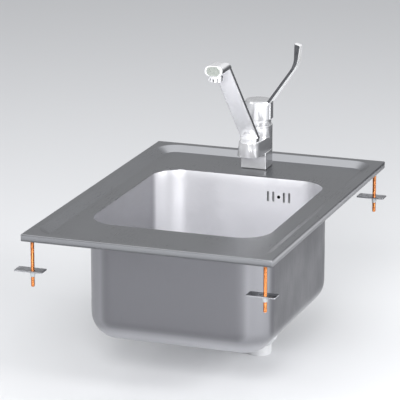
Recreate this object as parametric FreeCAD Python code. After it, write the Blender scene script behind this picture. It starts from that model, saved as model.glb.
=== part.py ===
import FreeCAD, Part
import math
import os

Vec = FreeCAD.Vector
UP = Vec(0, 0, 1)
ALONG_X = Vec(1, 0, 0)
ALONG_Y = Vec(0, 1, 0)

# A drop-in stainless sink with one deep bowl, a single-lever tap, a waste and four clamps.
# The origin is the centre of the plane where the rim rests on the worktop. +Z is up,
# +Y runs from the user to the tap and +X is to the user's right. Lengths are in millimetres.

# Shared clearances
overrun = 1.0
running_gap = 0.05
loose_gap = 0.3

# Sheet steel of both pressings
sheet = 1.2

# Rim and deck
rim_width = 465.0
rim_depth = 690.0
rim_height = 12.4
rim_corner_radius = 2.5
rim_edge_radius = 1.8
border_width = 16.0
slope_width = 17.5
deck_drop = 10.0
recess_corner_radius = 24.0

# Bowl and its mouth in the deck
side_ledge = 64.0
front_ledge = 140.7
back_ledge = 150.7
mouth_corner_radius = 56.0
bowl_side_overhang = 5.8
bowl_end_overhang = 1.7
bowl_drop = 225.8
bowl_corner_radius = 57.0
bowl_floor_radius = 50.0
weld_flange_width = 7.0

# Rim seal strip
seal_width = 7.0

# Waste fitting
waste_from_side = 107.3
waste_from_back = 112.0
waste_hole_radius = 44.5
flange_radius = 55.0
flange_bead = 1.0
waste_gasket = 1.0
cup_radius = 43.0
cup_depth = 24.0
cup_hole_radius = 3.2
cup_hole_circle_radius = 21.0
cup_hole_count = 12
cup_inner_circle_radius = 12.0
cup_inner_count = 6
lower_washer_height = 3.0
lower_washer_radius = 52.0
waste_wall = 2.5
waste_cone_height = 24.0
waste_neck_radius = 28.0
waste_neck_height = 4.5
waste_flange_height = 3.0
ring_radius = 34.0
ring_height = 7.5
ring_taper_height = 12.5
ring_end_wall = 1.0
outlet_radius = 24.2
outlet_wall = 2.8
outlet_neck_step = 1.2
outlet_flange_height = 2.4
outlet_drop = 19.0
spider_hub_radius = 6.5
spider_hub_height = 9.0
spider_arm_width = 3.0
spider_arm_count = 3
waste_screw_radius = 3.0
waste_screw_head_radius = 5.5
waste_screw_head_height = 2.0
waste_spigot_radius = 9.0
waste_spigot_wall = 2.0
waste_spigot_length = 22.0
waste_collar_radius = 10.6
waste_collar_width = 7.0

# Basket strainer
basket_rim_radius = 46.5
basket_rim_height = 0.9
basket_radius = 40.0
basket_depth = 13.0
basket_hole_radius = 1.9
basket_hole_circles = 4
basket_hole_pitch = 8.0
knob_radius = 10.0
knob_height = 9.0
knob_stem_radius = 4.0
plug_seal_radius = 34.0
plug_seal_height = 2.4

# Overflow
overflow_drop = 47.5
slot_width = 4.0
slot_height = 20.0
slot_pitch = 10.6
overflow_screw_radius = 3.1
overflow_socket_radius = 2.3
overflow_socket_depth = 3.0
overflow_gasket_thickness = 2.0
overflow_box_width = 64.0
overflow_box_height = 36.0
overflow_box_depth = 16.0
overflow_box_radius = 9.0
overflow_wall = 2.0
overflow_boss_radius = 5.5
overflow_spigot_radius = 10.0
overflow_spigot_length = 22.0

# Clamps under the rim's corners
rod_from_side = 16.6
rod_from_end = 14.1
rod_radius = 3.5
rod_length = 96.8
weld_nut_radius = 5.6
weld_nut_height = 6.0
clamp_reach = 56.6
plate_width = 53.0
plate_depth = 25.0
plate_thickness = 2.5
plate_corner_radius = 1.5
plate_hole_from_side = 19.5
plate_hole_from_front = 6.5
plate_hole_gap = 0.5
clamp_nut_top_radius = 5.4
clamp_nut_foot_radius = 4.2
clamp_nut_height = 8.0

# Tap body
tap_from_rim_end = 73.0
tap_half_width = 25.0
tap_front_reach = 30.0
tap_back_reach = 7.0
tap_gasket = 1.0
gasket_inset = 1.0
tap_block_height = 32.0
block_edge_radius = 1.5
nose_reach = 53.0
nose_top_radius = 20.3
nose_foot_radius = 23.0
lower_body_top_z = 62.4
nose_fillet_radius = 10.0
column_top_z = 83.4
cartridge_radius = 17.4
cartridge_seat_z = 50.0
cartridge_top_z = 84.0
nut_thread_radius = 19.5
nut_thread_height = 9.4
inlet_radius = 4.5
inlet_spread = 6.5
waterway_radius = 3.5
waterway_z = 55.0

# Fixing under the deck
tap_hole_radius = 17.5
shank_radius = 16.0
shank_wall = 3.0
shank_engagement = 10.0
shank_drop = 55.0
fixing_washer_radius = 25.0
rubber_washer_height = 3.0
steel_washer_height = 2.0
fixing_nut_across_flats = 41.0
fixing_nut_height = 9.0

# Cartridge nut, carrier and spindle about the handle's tilt centre
tilt_z = 92.4
dome_radius = 24.5
dome_top_z = 99.0
dome_bore_radius = 13.2
carrier_thickness = 2.5
carrier_ear_thickness = 3.5
carrier_ear_half_width = 4.0
carrier_ear_rise = 4.2
spindle_half_width = 3.5
spindle_half_depth = 4.6
spindle_foot_drop = 3.0
spindle_shoulder_z = 100.0
spindle_radius = 4.0
spindle_top_z = 120.0
pin_radius = 1.5

# Handle cap and lever
cap_radius = 26.0
cap_top_radius = 24.2
cap_height = 40.0
cap_foot_rise = 4.0
cap_chamfer = 3.6
cap_wall = 1.1
cap_cavity_height = 19.6
grub_radius = 2.5
grub_length = 12.0
grub_z = 116.0
lever_pad_x = 26.9
lever_pad_width = 17.5
lever_root_reach = 14.7
lever_start_x = 25.0
lever_start_z = 132.4
lever_blade_run = 78.3
lever_blade_angle = math.radians(55.5)
lever_tip_angle = math.radians(88.1)
lever_end_slope = math.radians(16.6)
lever_bend_radius = 46.4
lever_tip_run = 24.7
lever_thickness = 5.75
lever_tip_thickness = 11.45
lever_root_width = 44.0
lever_mid_width = 27.9
lever_tip_width = 10.3
lever_bend_steps = 8

# Spout
spout_foot_z = 63.4
spout_foot_radius = 18.0
spout_foot_side = 7.0
spout_foot_cone = 6.6
spout_foot_top_radius = 10.5
post_radius = 9.0
post_bore_radius = 5.0
post_foot_z = 48.0
post_top_z = 74.0
ring_groove_depth = 2.0
ring_groove_height = 2.2
o_ring_radius = 1.0
o_ring_first_z = 65.2
o_ring_pitch = 5.6
retaining_screw_radius = 2.2
arm_width = 36.0
arm_thickness = 9.0
arm_foot_behind_nose = 1.75
arm_foot_z = 65.3
arm_head_reach = 160.5
arm_edge_radius = 2.4
head_width = 34.4
head_bend_radius = 22.0
arm_channel_width = 16.0
arm_channel_height = 4.0
head_level_run = 47.5
head_bottom_z = 234.8
head_height = 19.8
head_edge_radius = 1.2
nose_plug_width = 26.0
nose_plug_height = 17.4
nose_plug_depth = 2.5
nose_plug_stand = 0.4
boss_radius = 7.5
boss_height = 2.4
boss_above_foot = 20.0
aerator_from_front = 15.0
aerator_radius = 13.3
aerator_wall = 2.4
aerator_height = 10.8
aerator_neck_radius = 11.0
aerator_neck_height = 6.0
aerator_slot_count = 12
aerator_slot_width = 3.2
aerator_slot_height = 7.0
aerator_hole_radius = 0.8
aerator_hole_circles = 3
aerator_hole_pitch = 2.8
aerator_insert_height = 4.0

# Places that follow from the sizes above
mouth_width = rim_width - 2 * side_ledge
mouth_depth = rim_depth - front_ledge - back_ledge
bowl_centre_y = (front_ledge - back_ledge) / 2
bowl_width = mouth_width + 2 * bowl_side_overhang
bowl_depth = mouth_depth + 2 * bowl_end_overhang
rod_x = rim_width / 2 - rod_from_side
rod_y = rim_depth / 2 - rod_from_end
tap_y = rim_depth / 2 - tap_from_rim_end
tap_front_y = tap_y - tap_front_reach
tap_back_y = tap_y + tap_back_reach
nose_y = tap_y - nose_reach
arm_foot_y = nose_y + arm_foot_behind_nose
arm_head_y = nose_y - arm_head_reach
head_front_y = arm_head_y - head_level_run
head_top_z = head_bottom_z + head_height
head_middle_z = head_bottom_z + head_height / 2
head_corner_radius = head_height / 2 - 2 * running_gap
aerator_y = head_front_y + aerator_from_front
deck_top = rim_height - deck_drop
deck_under = deck_top - sheet
flange_under = rim_height - sheet
bowl_floor_under = deck_under - bowl_drop
bowl_floor = bowl_floor_under + sheet
bowl_back_inner_y = bowl_centre_y + bowl_depth / 2 - sheet
bowl_back_y = bowl_centre_y + bowl_depth / 2
waste_x = bowl_width / 2 - waste_from_side
waste_y = bowl_back_y - waste_from_back
waste_centre = Vec(waste_x, waste_y, 0)
flange_under_z = bowl_floor + waste_gasket
flange_top_z = flange_under_z + sheet
cup_under_z = flange_under_z - cup_depth
waste_body_top_z = bowl_floor_under - lower_washer_height
waste_wall_radius = cup_radius + waste_wall + loose_gap
waste_cone_top_z = cup_under_z
ring_top_z = waste_cone_top_z - waste_cone_height
ring_bottom_z = ring_top_z - ring_height
ring_tip_z = ring_bottom_z - ring_taper_height
waste_neck_z = ring_top_z - waste_neck_height
outlet_bottom_z = ring_tip_z - outlet_drop
overflow_z = rim_height - overflow_drop
tap_seat_z = deck_top + tap_gasket
block_top_z = tap_seat_z + tap_block_height
tap_axis = Vec(0, tap_y, 0)
nose_axis = Vec(0, nose_y, 0)
tilt_centre = Vec(0, tap_y, tilt_z)
cap_top_z = tilt_z + cap_height
cap_foot_z = tilt_z + cap_foot_rise
plate_top_z = -clamp_reach
plate_under_z = plate_top_z - plate_thickness


def lifted(point, height):
    """The point moved to the given height."""
    return Vec(point.x, point.y, height)


def rod(radius, foot, top, centre=Vec(0, 0, 0)):
    """Upright cylinder between two heights on the axis through centre."""
    return Part.makeCylinder(radius, top - foot, lifted(centre, foot))


def pipe(outer, inner, foot, top, centre=Vec(0, 0, 0)):
    """Upright tube between two heights on the axis through centre."""
    return rod(outer, foot, top, centre).cut(rod(inner, foot - overrun, top + overrun, centre))


def block(x_low, x_high, y_low, y_high, z_low, z_high):
    """Box between low and high places on each axis."""
    corner = Vec(x_low, y_low, z_low)
    return Part.makeBox(x_high - x_low, y_high - y_low, z_high - z_low, corner)


def turned(profile, centre=Vec(0, 0, 0)):
    """Solid of revolution about the upright axis through centre, from (radius, height) points."""
    points = [Vec(centre.x + radius, centre.y, height) for radius, height in profile]
    face = Part.Face(Part.makePolygon(points + points[:1]))
    return face.revolve(lifted(centre, 0), UP, 360)


def arc_points(centre_x, centre_y, radius, start, end):
    """Start, middle and end of an arc in plan, angles in radians."""
    angles = (start, (start + end) / 2, end)
    return [(centre_x + radius * math.cos(a), centre_y + radius * math.sin(a)) for a in angles]


def rounded_wire(width, depth, radius, place):
    """Closed rounded rectangle; place turns a flat (a, b) point into a point in space."""
    half_a = width / 2 - radius
    half_b = depth / 2 - radius
    quarter = math.pi / 2
    corners = ((half_a, -half_b), (half_a, half_b), (-half_a, half_b), (-half_a, -half_b))
    arcs = []
    for index, (centre_a, centre_b) in enumerate(corners):
        start = quarter * (index - 1)
        arcs.append([place(*p) for p in arc_points(centre_a, centre_b, radius, start, start + quarter)])
    edges = []
    for index, arc in enumerate(arcs):
        edges.append(Part.Arc(*arc).toShape())
        edges.append(Part.LineSegment(arc[2], arcs[(index + 1) % len(arcs)][0]).toShape())
    return Part.Wire(edges)


def flat_rounded(width, depth, radius, z_low, z_high, centre_x=0, centre_y=0):
    """Rounded rectangle in plan, extruded upward."""
    wire = rounded_wire(width, depth, radius, lambda a, b: Vec(centre_x + a, centre_y + b, z_low))
    return Part.Face(wire).extrude(UP * (z_high - z_low))


def upright_rounded(width, height, radius, y_low, y_high, centre_x, centre_z):
    """Rounded rectangle facing -Y, extruded toward +Y."""
    wire = rounded_wire(width, height, radius, lambda a, b: Vec(centre_x + a, y_low, centre_z + b))
    return Part.Face(wire).extrude(ALONG_Y * (y_high - y_low))


def side_outline(points, half_width):
    """Solid from (y, z) points, extruded across X to both sides of the middle plane."""
    corners = [Vec(-half_width, y, z) for y, z in points]
    face = Part.Face(Part.makePolygon(corners + corners[:1]))
    return face.extrude(ALONG_X * (2 * half_width))


def edges_at_height(shape, height):
    """Edges that lie wholly in the level plane at the given height."""
    tolerance = sheet * 1e-4
    found = []
    for edge in shape.Edges:
        box = edge.BoundBox
        if abs(box.ZMin - height) < tolerance and abs(box.ZMax - height) < tolerance:
            found.append(edge)
    return found


def ring_of(make, count, radius):
    """Fused copies of make(x, y) spaced evenly on a circle about the origin."""
    shapes = []
    for index in range(count):
        angle = 2 * math.pi * index / count
        shapes.append(make(radius * math.cos(angle), radius * math.sin(angle)))
    return shapes[0].multiFuse(shapes[1:]) if len(shapes) > 1 else shapes[0]


def save(name, shape):
    """Write one sub-part."""
    shape.exportStep(os.path.join("parts", name + ".step"))


# The recess is a loft between its outline on the deck and the wider one at the rim.

def recess(bottom_z, top_z, grow):
    """Sloped-sided recess in the rim, widened by grow all round."""
    run = slope_width / deck_drop * (top_z - bottom_z)
    width = rim_width - 2 * (border_width + slope_width) + 2 * grow
    depth = rim_depth - 2 * (border_width + slope_width) + 2 * grow
    radius = recess_corner_radius + grow
    low = rounded_wire(width, depth, radius, lambda a, b: Vec(a, b, bottom_z))
    high = rounded_wire(width + 2 * run, depth + 2 * run, radius + run, lambda a, b: Vec(a, b, top_z))
    return Part.makeLoft([low, high], True, True)


def deck_pressing():
    """Rim with turned-down edge, sloped border, recessed deck, bowl mouth and tap hole."""
    outer = flat_rounded(rim_width, rim_depth, rim_corner_radius, 0, rim_height)
    outer = outer.makeFillet(rim_edge_radius, edges_at_height(outer, rim_height))
    inner_radius = rim_corner_radius - sheet
    inner = flat_rounded(rim_width - 2 * sheet, rim_depth - 2 * sheet, inner_radius, -overrun, flange_under)
    slope_length = math.hypot(slope_width, deck_drop)
    slope_offset = sheet * (slope_length - slope_width) / deck_drop
    inner = inner.cut(recess(deck_under, flange_under + deck_drop, slope_offset))
    over = deck_drop * (1 + overrun / deck_drop)
    shape = outer.cut(recess(deck_top, deck_top + over, 0)).cut(inner)
    mouth = flat_rounded(mouth_width, mouth_depth, mouth_corner_radius, deck_under - overrun,
                         deck_top + overrun, 0, bowl_centre_y)
    shape = shape.cut(mouth)
    hole = rod(tap_hole_radius, deck_under - overrun, deck_top + overrun, tap_axis)
    return shape.cut(hole)


def bowl_pressing():
    """Deep bowl with a weld flange under the deck, a waste hole and overflow slots."""
    def cup(width, depth, corner, floor_radius, foot, top):
        body = flat_rounded(width, depth, corner, foot, top, 0, bowl_centre_y)
        return body.makeFillet(floor_radius, edges_at_height(body, foot))

    outer = cup(bowl_width, bowl_depth, bowl_corner_radius, bowl_floor_radius,
                bowl_floor_under, deck_under)
    inner = cup(bowl_width - 2 * sheet, bowl_depth - 2 * sheet, bowl_corner_radius - sheet,
                bowl_floor_radius - sheet, bowl_floor, deck_under + overrun)
    flange = flat_rounded(bowl_width + 2 * weld_flange_width, bowl_depth + 2 * weld_flange_width,
                          bowl_corner_radius + weld_flange_width, deck_under - sheet, deck_under,
                          0, bowl_centre_y)
    shape = outer.fuse(flange).cut(inner)
    shape = shape.cut(rod(waste_hole_radius, bowl_floor_under - overrun, bowl_floor + overrun, waste_centre))
    wall_front = bowl_back_inner_y - overrun
    wall_back = bowl_back_y + overrun
    for step in (-2, -1, 1, 2):
        slot = upright_rounded(slot_width, slot_height, slot_width / 2 - running_gap, wall_front, wall_back,
                               waste_x + step * slot_pitch, overflow_z)
        shape = shape.cut(slot)
    screw_hole = Part.makeCylinder(overflow_screw_radius + running_gap, wall_back - wall_front,
                                   Vec(waste_x, wall_front, overflow_z), ALONG_Y)
    return shape.cut(screw_hole)


def rim_seal():
    """Rubber strip between the flange and the worktop, inside the turned-down edge."""
    gap = 2 * (sheet + running_gap)
    outer = flat_rounded(rim_width - gap, rim_depth - gap, rim_corner_radius - sheet, 0, flange_under)
    narrow = gap + 2 * seal_width
    inner = flat_rounded(rim_width - narrow, rim_depth - narrow, rim_corner_radius, -overrun,
                         flange_under + overrun)
    return outer.cut(inner)


def at_corners(make):
    """Copies of one clamp piece at the four rods, named by corner."""
    corners = {}
    for side, sign_x in (("left", -1), ("right", 1)):
        for end, sign_y in (("front", -1), ("back", 1)):
            shape = make()
            shape.translate(Vec(sign_x * rod_x, sign_y * rod_y, 0))
            corners[end + "_" + side] = shape
    return corners


def weld_nut():
    """Round nut welded under the flange, which holds a rod."""
    return pipe(weld_nut_radius, rod_radius, flange_under - weld_nut_height, flange_under)


def clamp_rod():
    """Threaded rod that hangs from the weld nut."""
    shape = rod(rod_radius, flange_under - rod_length, flange_under)
    foot = edges_at_height(shape, flange_under - rod_length)
    return shape.makeChamfer(rod_radius / 5, foot)


def clamp_plate():
    """Flat plate that hooks under the worktop's edge."""
    left = plate_hole_from_side - plate_width
    centre_x = left + plate_width / 2
    centre_y = plate_depth / 2 - plate_hole_from_front
    shape = flat_rounded(plate_width, plate_depth, plate_corner_radius, plate_under_z, plate_top_z,
                         centre_x, centre_y)
    return shape.cut(rod(rod_radius + plate_hole_gap, plate_under_z - overrun, plate_top_z + overrun))


def clamp_nut():
    """Tapered nut under the plate."""
    bore = rod_radius + running_gap
    foot = plate_under_z - clamp_nut_height
    return turned([(bore, foot), (clamp_nut_foot_radius, foot), (clamp_nut_top_radius, plate_under_z),
                   (bore, plate_under_z)])


def strainer_cup():
    """Pressed flange and cup in the bowl's floor, with strainer holes round the screw."""
    cup_inner = cup_radius - sheet
    profile = [
        (cup_hole_radius, cup_under_z), (cup_radius, cup_under_z), (cup_radius, flange_under_z),
        (flange_radius, flange_under_z), (flange_radius, flange_under_z + flange_bead),
        (flange_radius - sheet, flange_top_z), (cup_inner, flange_top_z),
        (cup_inner, cup_under_z + sheet), (cup_hole_radius, cup_under_z + sheet),
    ]
    shape = turned(profile)
    low = cup_under_z - overrun
    high = cup_under_z + sheet + overrun
    rings = ((cup_hole_count, cup_hole_circle_radius), (cup_inner_count, cup_inner_circle_radius))
    for count, circle in rings:
        shape = shape.cut(ring_of(lambda x, y: rod(cup_hole_radius, low, high, Vec(x, y, 0)), count, circle))
    shape.translate(waste_centre)
    return shape


def waste_gasket_ring():
    """Rubber ring between the strainer's flange and the bowl's floor."""
    return pipe(flange_radius - flange_bead, waste_hole_radius, bowl_floor, flange_under_z, waste_centre)


def lower_washer():
    """Rubber washer between the bowl's underside and the waste body."""
    return pipe(lower_washer_radius, waste_wall_radius - waste_wall, waste_body_top_z, bowl_floor_under,
                waste_centre)


def waste_body():
    """Plastic cone under the bowl with a spider for the centre screw and an overflow spigot."""
    inner = waste_wall_radius - waste_wall
    neck_bore = waste_neck_radius - waste_wall
    profile = [
        (inner, waste_body_top_z), (lower_washer_radius, waste_body_top_z),
        (lower_washer_radius, waste_body_top_z - waste_flange_height),
        (waste_wall_radius, waste_body_top_z - waste_flange_height),
        (waste_wall_radius, waste_cone_top_z), (ring_radius, ring_top_z),
        (waste_neck_radius, ring_top_z), (waste_neck_radius, waste_neck_z),
        (neck_bore, waste_neck_z), (neck_bore, ring_top_z + waste_wall),
        (inner, waste_cone_top_z - loose_gap),
    ]
    shape = turned(profile)
    hub_top = cup_under_z - spider_hub_height
    hub_foot = hub_top - spider_hub_height
    hub = rod(spider_hub_radius, hub_foot, hub_top)
    for index in range(spider_arm_count):
        arm = block(0, waste_wall_radius, -spider_arm_width / 2, spider_arm_width / 2,
                    hub_foot, hub_foot + spider_hub_height / 2)
        arm.rotate(Vec(0, 0, 0), UP, 360.0 * index / spider_arm_count)
        hub = hub.fuse(arm)
    keep = turned([(0, waste_body_top_z), (inner + waste_wall / 2, waste_body_top_z),
                   (inner + waste_wall / 2, waste_cone_top_z), (neck_bore + waste_wall / 2, ring_top_z),
                   (0, ring_top_z)])
    shape = shape.fuse(hub.common(keep))
    shape = shape.cut(rod(waste_screw_radius, hub_foot - overrun, hub_top + overrun))
    spigot_z = (waste_body_top_z - waste_flange_height + waste_cone_top_z) / 2
    collar_end = waste_wall_radius + waste_collar_width
    reach = collar_end + waste_spigot_length
    spigot = Part.makeCylinder(waste_spigot_radius, reach, Vec(0, 0, spigot_z), ALONG_Y)
    spigot = spigot.fuse(Part.makeCylinder(waste_collar_radius, collar_end, Vec(0, 0, spigot_z), ALONG_Y))
    core = rod(inner + waste_wall / 2, spigot_z - waste_wall_radius, spigot_z + waste_wall_radius)
    shape = shape.fuse(spigot.cut(core))
    bore = Part.makeCylinder(waste_spigot_radius - waste_spigot_wall, reach + overrun,
                             Vec(0, waste_wall_radius / 2, spigot_z), ALONG_Y)
    shape = shape.cut(bore)
    shape.translate(waste_centre)
    return shape


def outlet_ring_nut():
    """Union ring that holds the outlet pipe under the cone."""
    bore = outlet_radius + running_gap
    seat = waste_neck_radius + running_gap
    pocket = waste_neck_z - outlet_flange_height
    return turned([
        (seat, ring_top_z), (ring_radius, ring_top_z), (ring_radius, ring_bottom_z),
        (bore + ring_end_wall, ring_tip_z), (bore, ring_tip_z), (bore, pocket), (seat, pocket),
    ], waste_centre)


def waste_outlet():
    """Threaded outlet pipe with its flange held in the union ring."""
    bore = outlet_radius - outlet_wall
    neck = outlet_radius - outlet_neck_step
    flange_foot = waste_neck_z - outlet_flange_height
    return turned([
        (bore, waste_neck_z), (waste_neck_radius, waste_neck_z), (waste_neck_radius, flange_foot),
        (neck, flange_foot), (neck, ring_tip_z),
        (outlet_radius, ring_tip_z), (outlet_radius, outlet_bottom_z), (bore, outlet_bottom_z),
    ], waste_centre)


def waste_screw():
    """Centre screw that pulls the waste body up to the strainer cup."""
    head_foot = cup_under_z + sheet
    head = rod(waste_screw_head_radius, head_foot, head_foot + waste_screw_head_height, waste_centre)
    foot = cup_under_z - 2 * spider_hub_height
    slot_width_half = waste_screw_radius / 5
    slot = block(waste_x - flange_radius, waste_x + flange_radius, waste_y - slot_width_half,
                 waste_y + slot_width_half, head_foot + waste_screw_head_height / 2,
                 head_foot + waste_screw_head_height + overrun)
    return head.cut(slot).fuse(rod(waste_screw_radius, foot, head_foot, waste_centre))


def basket_strainer():
    """Lift-out perforated basket that hangs by its rim on the strainer's flange."""
    inner = basket_radius - sheet
    foot = flange_top_z - basket_depth
    profile = [
        (0, foot), (basket_radius, foot), (basket_radius, flange_top_z),
        (basket_rim_radius, flange_top_z), (basket_rim_radius, flange_top_z + basket_rim_height),
        (inner, flange_top_z + basket_rim_height), (inner, foot + sheet), (0, foot + sheet),
    ]
    shape = turned(profile)
    low = foot - overrun
    high = foot + sheet + overrun
    for circle in range(basket_hole_circles):
        radius = knob_radius / 2 + basket_hole_pitch * (circle + 1)
        count = int(2 * math.pi * radius / basket_hole_pitch)
        holes = ring_of(lambda x, y: rod(basket_hole_radius, low, high, Vec(x, y, 0)), count, radius)
        shape = shape.cut(holes)
    shape = shape.cut(rod(knob_stem_radius, low, high))
    shape.translate(waste_centre)
    return shape


def basket_knob():
    """Turned knob on a stem, through the basket's floor."""
    floor = flange_top_z - basket_depth + sheet
    stem_top = flange_top_z + basket_rim_height
    half = knob_radius / 2
    foot = floor - sheet - plug_seal_height
    return turned([
        (0, foot), (knob_stem_radius, foot), (knob_stem_radius, stem_top),
        (half, stem_top), (knob_radius, stem_top + knob_height / 3),
        (knob_radius, stem_top + 2 * knob_height / 3), (half, stem_top + knob_height),
        (0, stem_top + knob_height),
    ], waste_centre)


def basket_seal():
    """Rubber disc under the basket, which closes the waste when it is pushed down."""
    top = flange_top_z - basket_depth
    return pipe(plug_seal_radius, knob_stem_radius, top - plug_seal_height, top, waste_centre)


def overflow_gasket():
    """Foam frame between the bowl's back wall and the overflow housing."""
    back = bowl_back_y + overflow_gasket_thickness
    outer = upright_rounded(overflow_box_width, overflow_box_height, overflow_box_radius,
                            bowl_back_y, back, waste_x, overflow_z)
    inner = upright_rounded(overflow_box_width - 4 * overflow_wall, overflow_box_height - 4 * overflow_wall,
                            overflow_box_radius - overflow_wall, bowl_back_y - overrun,
                            back + overrun, waste_x, overflow_z)
    return outer.cut(inner)


def overflow_housing():
    """Open-fronted box behind the slots, with a screw boss and a spigot that points down."""
    front = bowl_back_y + overflow_gasket_thickness
    back = front + overflow_box_depth
    shape = upright_rounded(overflow_box_width, overflow_box_height, overflow_box_radius,
                            front, back, waste_x, overflow_z)
    centre_y = (front + back) / 2 - overflow_wall / 2
    half_height = overflow_box_height / 2
    foot = overflow_z - half_height - overflow_spigot_length
    spigot_radius = min(overflow_spigot_radius, overflow_box_depth / 2 - overflow_wall / 2)
    spigot_centre = Vec(waste_x, centre_y, 0)
    shape = shape.fuse(rod(spigot_radius, foot, overflow_z - half_height + overflow_wall, spigot_centre))
    hollow = upright_rounded(overflow_box_width - 2 * overflow_wall, overflow_box_height - 2 * overflow_wall,
                             overflow_box_radius - overflow_wall, front - overrun, back - overflow_wall,
                             waste_x, overflow_z)
    shape = shape.cut(hollow)
    shape = shape.cut(rod(spigot_radius - overflow_wall, foot - overrun, overflow_z - half_height / 2,
                          spigot_centre))
    boss = Part.makeCylinder(overflow_boss_radius, back - front, Vec(waste_x, front, overflow_z), ALONG_Y)
    boss_hole = Part.makeCylinder(overflow_screw_radius, back - front + overrun,
                                  Vec(waste_x, front - overrun, overflow_z), ALONG_Y)
    return shape.fuse(boss).cut(boss_hole)


def overflow_screw():
    """Socket screw, flush in the bowl's back wall, that holds the overflow housing."""
    length = bowl_back_y - bowl_back_inner_y + overflow_gasket_thickness + overflow_box_depth
    start = Vec(waste_x, bowl_back_inner_y, overflow_z)
    shape = Part.makeCylinder(overflow_screw_radius, length - overrun, start, ALONG_Y)
    socket_start = Vec(waste_x, bowl_back_inner_y - overrun, overflow_z)
    socket = Part.makeCylinder(overflow_socket_radius, overflow_socket_depth + overrun,
                               socket_start, ALONG_Y)
    return shape.cut(socket)


# The tap's plan is a flat-sided block with a round back about the line y = tap_back_y.

def tap_plan(front_y, z_low, z_high, inset=0, front_round=False):
    """Flat-sided plan with a round back, and a flat or round front."""
    half = tap_half_width - inset
    back = arc_points(0, tap_back_y, half, 0, math.pi)
    edges = [Part.Arc(*[Vec(x, y, z_low) for x, y in back]).toShape()]
    left = Vec(-half, tap_back_y, z_low)
    right = Vec(half, tap_back_y, z_low)
    front_left = Vec(-half, front_y, z_low)
    front_right = Vec(half, front_y, z_low)
    edges.append(Part.LineSegment(left, front_left).toShape())
    if front_round:
        front = arc_points(0, front_y, half, math.pi, 2 * math.pi)
        edges.append(Part.Arc(*[Vec(x, y, z_low) for x, y in front]).toShape())
    else:
        edges.append(Part.LineSegment(front_left, front_right).toShape())
    edges.append(Part.LineSegment(front_right, right).toShape())
    return Part.Face(Part.Wire(edges)).extrude(UP * (z_high - z_low))


def nose_wire(radius, height):
    """Outline of the lower body in plan: a nose circle and the back circle with their tangents."""
    tilt = -math.asin((tap_half_width - radius) / (tap_back_y - nose_y))
    nose = arc_points(0, nose_y, radius, -math.pi - tilt, tilt)
    back = arc_points(0, tap_back_y, tap_half_width, tilt, math.pi - tilt)
    nose_left, front, nose_right = [Vec(x, y, height) for x, y in nose]
    back_right, rear, back_left = [Vec(x, y, height) for x, y in back]
    return Part.Wire([
        Part.Arc(nose_left, front, nose_right).toShape(),
        Part.LineSegment(nose_right, back_right).toShape(),
        Part.Arc(back_right, rear, back_left).toShape(),
        Part.LineSegment(back_left, nose_left).toShape(),
    ])


def nose_fillet():
    """Concave fillet between the base block's front and the underside of the nose."""
    foot = block_top_z - nose_fillet_radius
    front = tap_front_y - nose_fillet_radius
    stock = Part.Face(nose_wire(nose_foot_radius, foot)).extrude(UP * nose_fillet_radius)
    zone = block(-tap_half_width, tap_half_width, front, tap_front_y + overrun, foot, block_top_z)
    hollow = Part.makeCylinder(nose_fillet_radius, 2 * tap_half_width, Vec(-tap_half_width, front, foot),
                               ALONG_X)
    return stock.common(zone).cut(hollow)


def tap_body():
    """Cast body: base block, lower body with a round nose, column, bores and waterways."""
    base = tap_plan(tap_front_y, tap_seat_z, block_top_z)
    base = base.makeFillet(block_edge_radius, edges_at_height(base, block_top_z))
    low = nose_wire(nose_foot_radius, block_top_z)
    high = nose_wire(nose_top_radius, lower_body_top_z)
    nose = Part.makeLoft([low, high], True, True)
    column = tap_plan(tap_y, lower_body_top_z, column_top_z, 0, True)
    shape = base.multiFuse([nose_fillet(), nose, column])
    shape = shape.cut(rod(cartridge_radius + running_gap, cartridge_seat_z, column_top_z + overrun,
                          tap_axis))
    thread_foot = column_top_z - nut_thread_height
    shape = shape.cut(rod(nut_thread_radius, thread_foot, column_top_z + overrun, tap_axis))
    shape = shape.cut(rod(post_radius, post_foot_z, lower_body_top_z + overrun, nose_axis))
    shape = shape.cut(rod(shank_radius, tap_seat_z - overrun, tap_seat_z + shank_engagement, tap_axis))
    for side in (-1, 1):
        centre = Vec(side * inlet_spread, tap_y, 0)
        shape = shape.cut(rod(inlet_radius, tap_seat_z, cartridge_seat_z + overrun, centre))
    waterway = Part.makeCylinder(waterway_radius, tap_y - nose_y, Vec(0, nose_y, waterway_z), ALONG_Y)
    return shape.cut(waterway).removeSplitter()


def tap_base_gasket():
    """Rubber gasket between the base block and the deck."""
    shape = tap_plan(tap_front_y + gasket_inset, deck_top, tap_seat_z, gasket_inset)
    return shape.cut(rod(tap_hole_radius, deck_top - overrun, tap_seat_z + overrun, tap_axis))


def tap_shank():
    """Threaded tube from the body down through the deck, with room for two tails."""
    return pipe(shank_radius, shank_radius - shank_wall, deck_under - shank_drop,
                tap_seat_z + shank_engagement, tap_axis)


def rubber_washer():
    """Rubber washer against the deck's underside."""
    return pipe(fixing_washer_radius, shank_radius, deck_under - rubber_washer_height, deck_under, tap_axis)


def steel_washer():
    """Steel washer under the rubber one."""
    top = deck_under - rubber_washer_height
    return pipe(fixing_washer_radius, shank_radius, top - steel_washer_height, top, tap_axis)


def fixing_nut():
    """Hexagon nut that pulls the tap down on the deck."""
    top = deck_under - rubber_washer_height - steel_washer_height
    corner = fixing_nut_across_flats / 2 / math.cos(math.pi / 6)
    angles = [math.pi / 3 * index for index in range(7)]
    points = [Vec(corner * math.cos(angle), corner * math.sin(angle), top - fixing_nut_height) + tap_axis
              for angle in angles]
    shape = Part.Face(Part.makePolygon(points)).extrude(UP * fixing_nut_height)
    return shape.cut(rod(shank_radius, top - fixing_nut_height - overrun, top + overrun, tap_axis))


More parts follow.
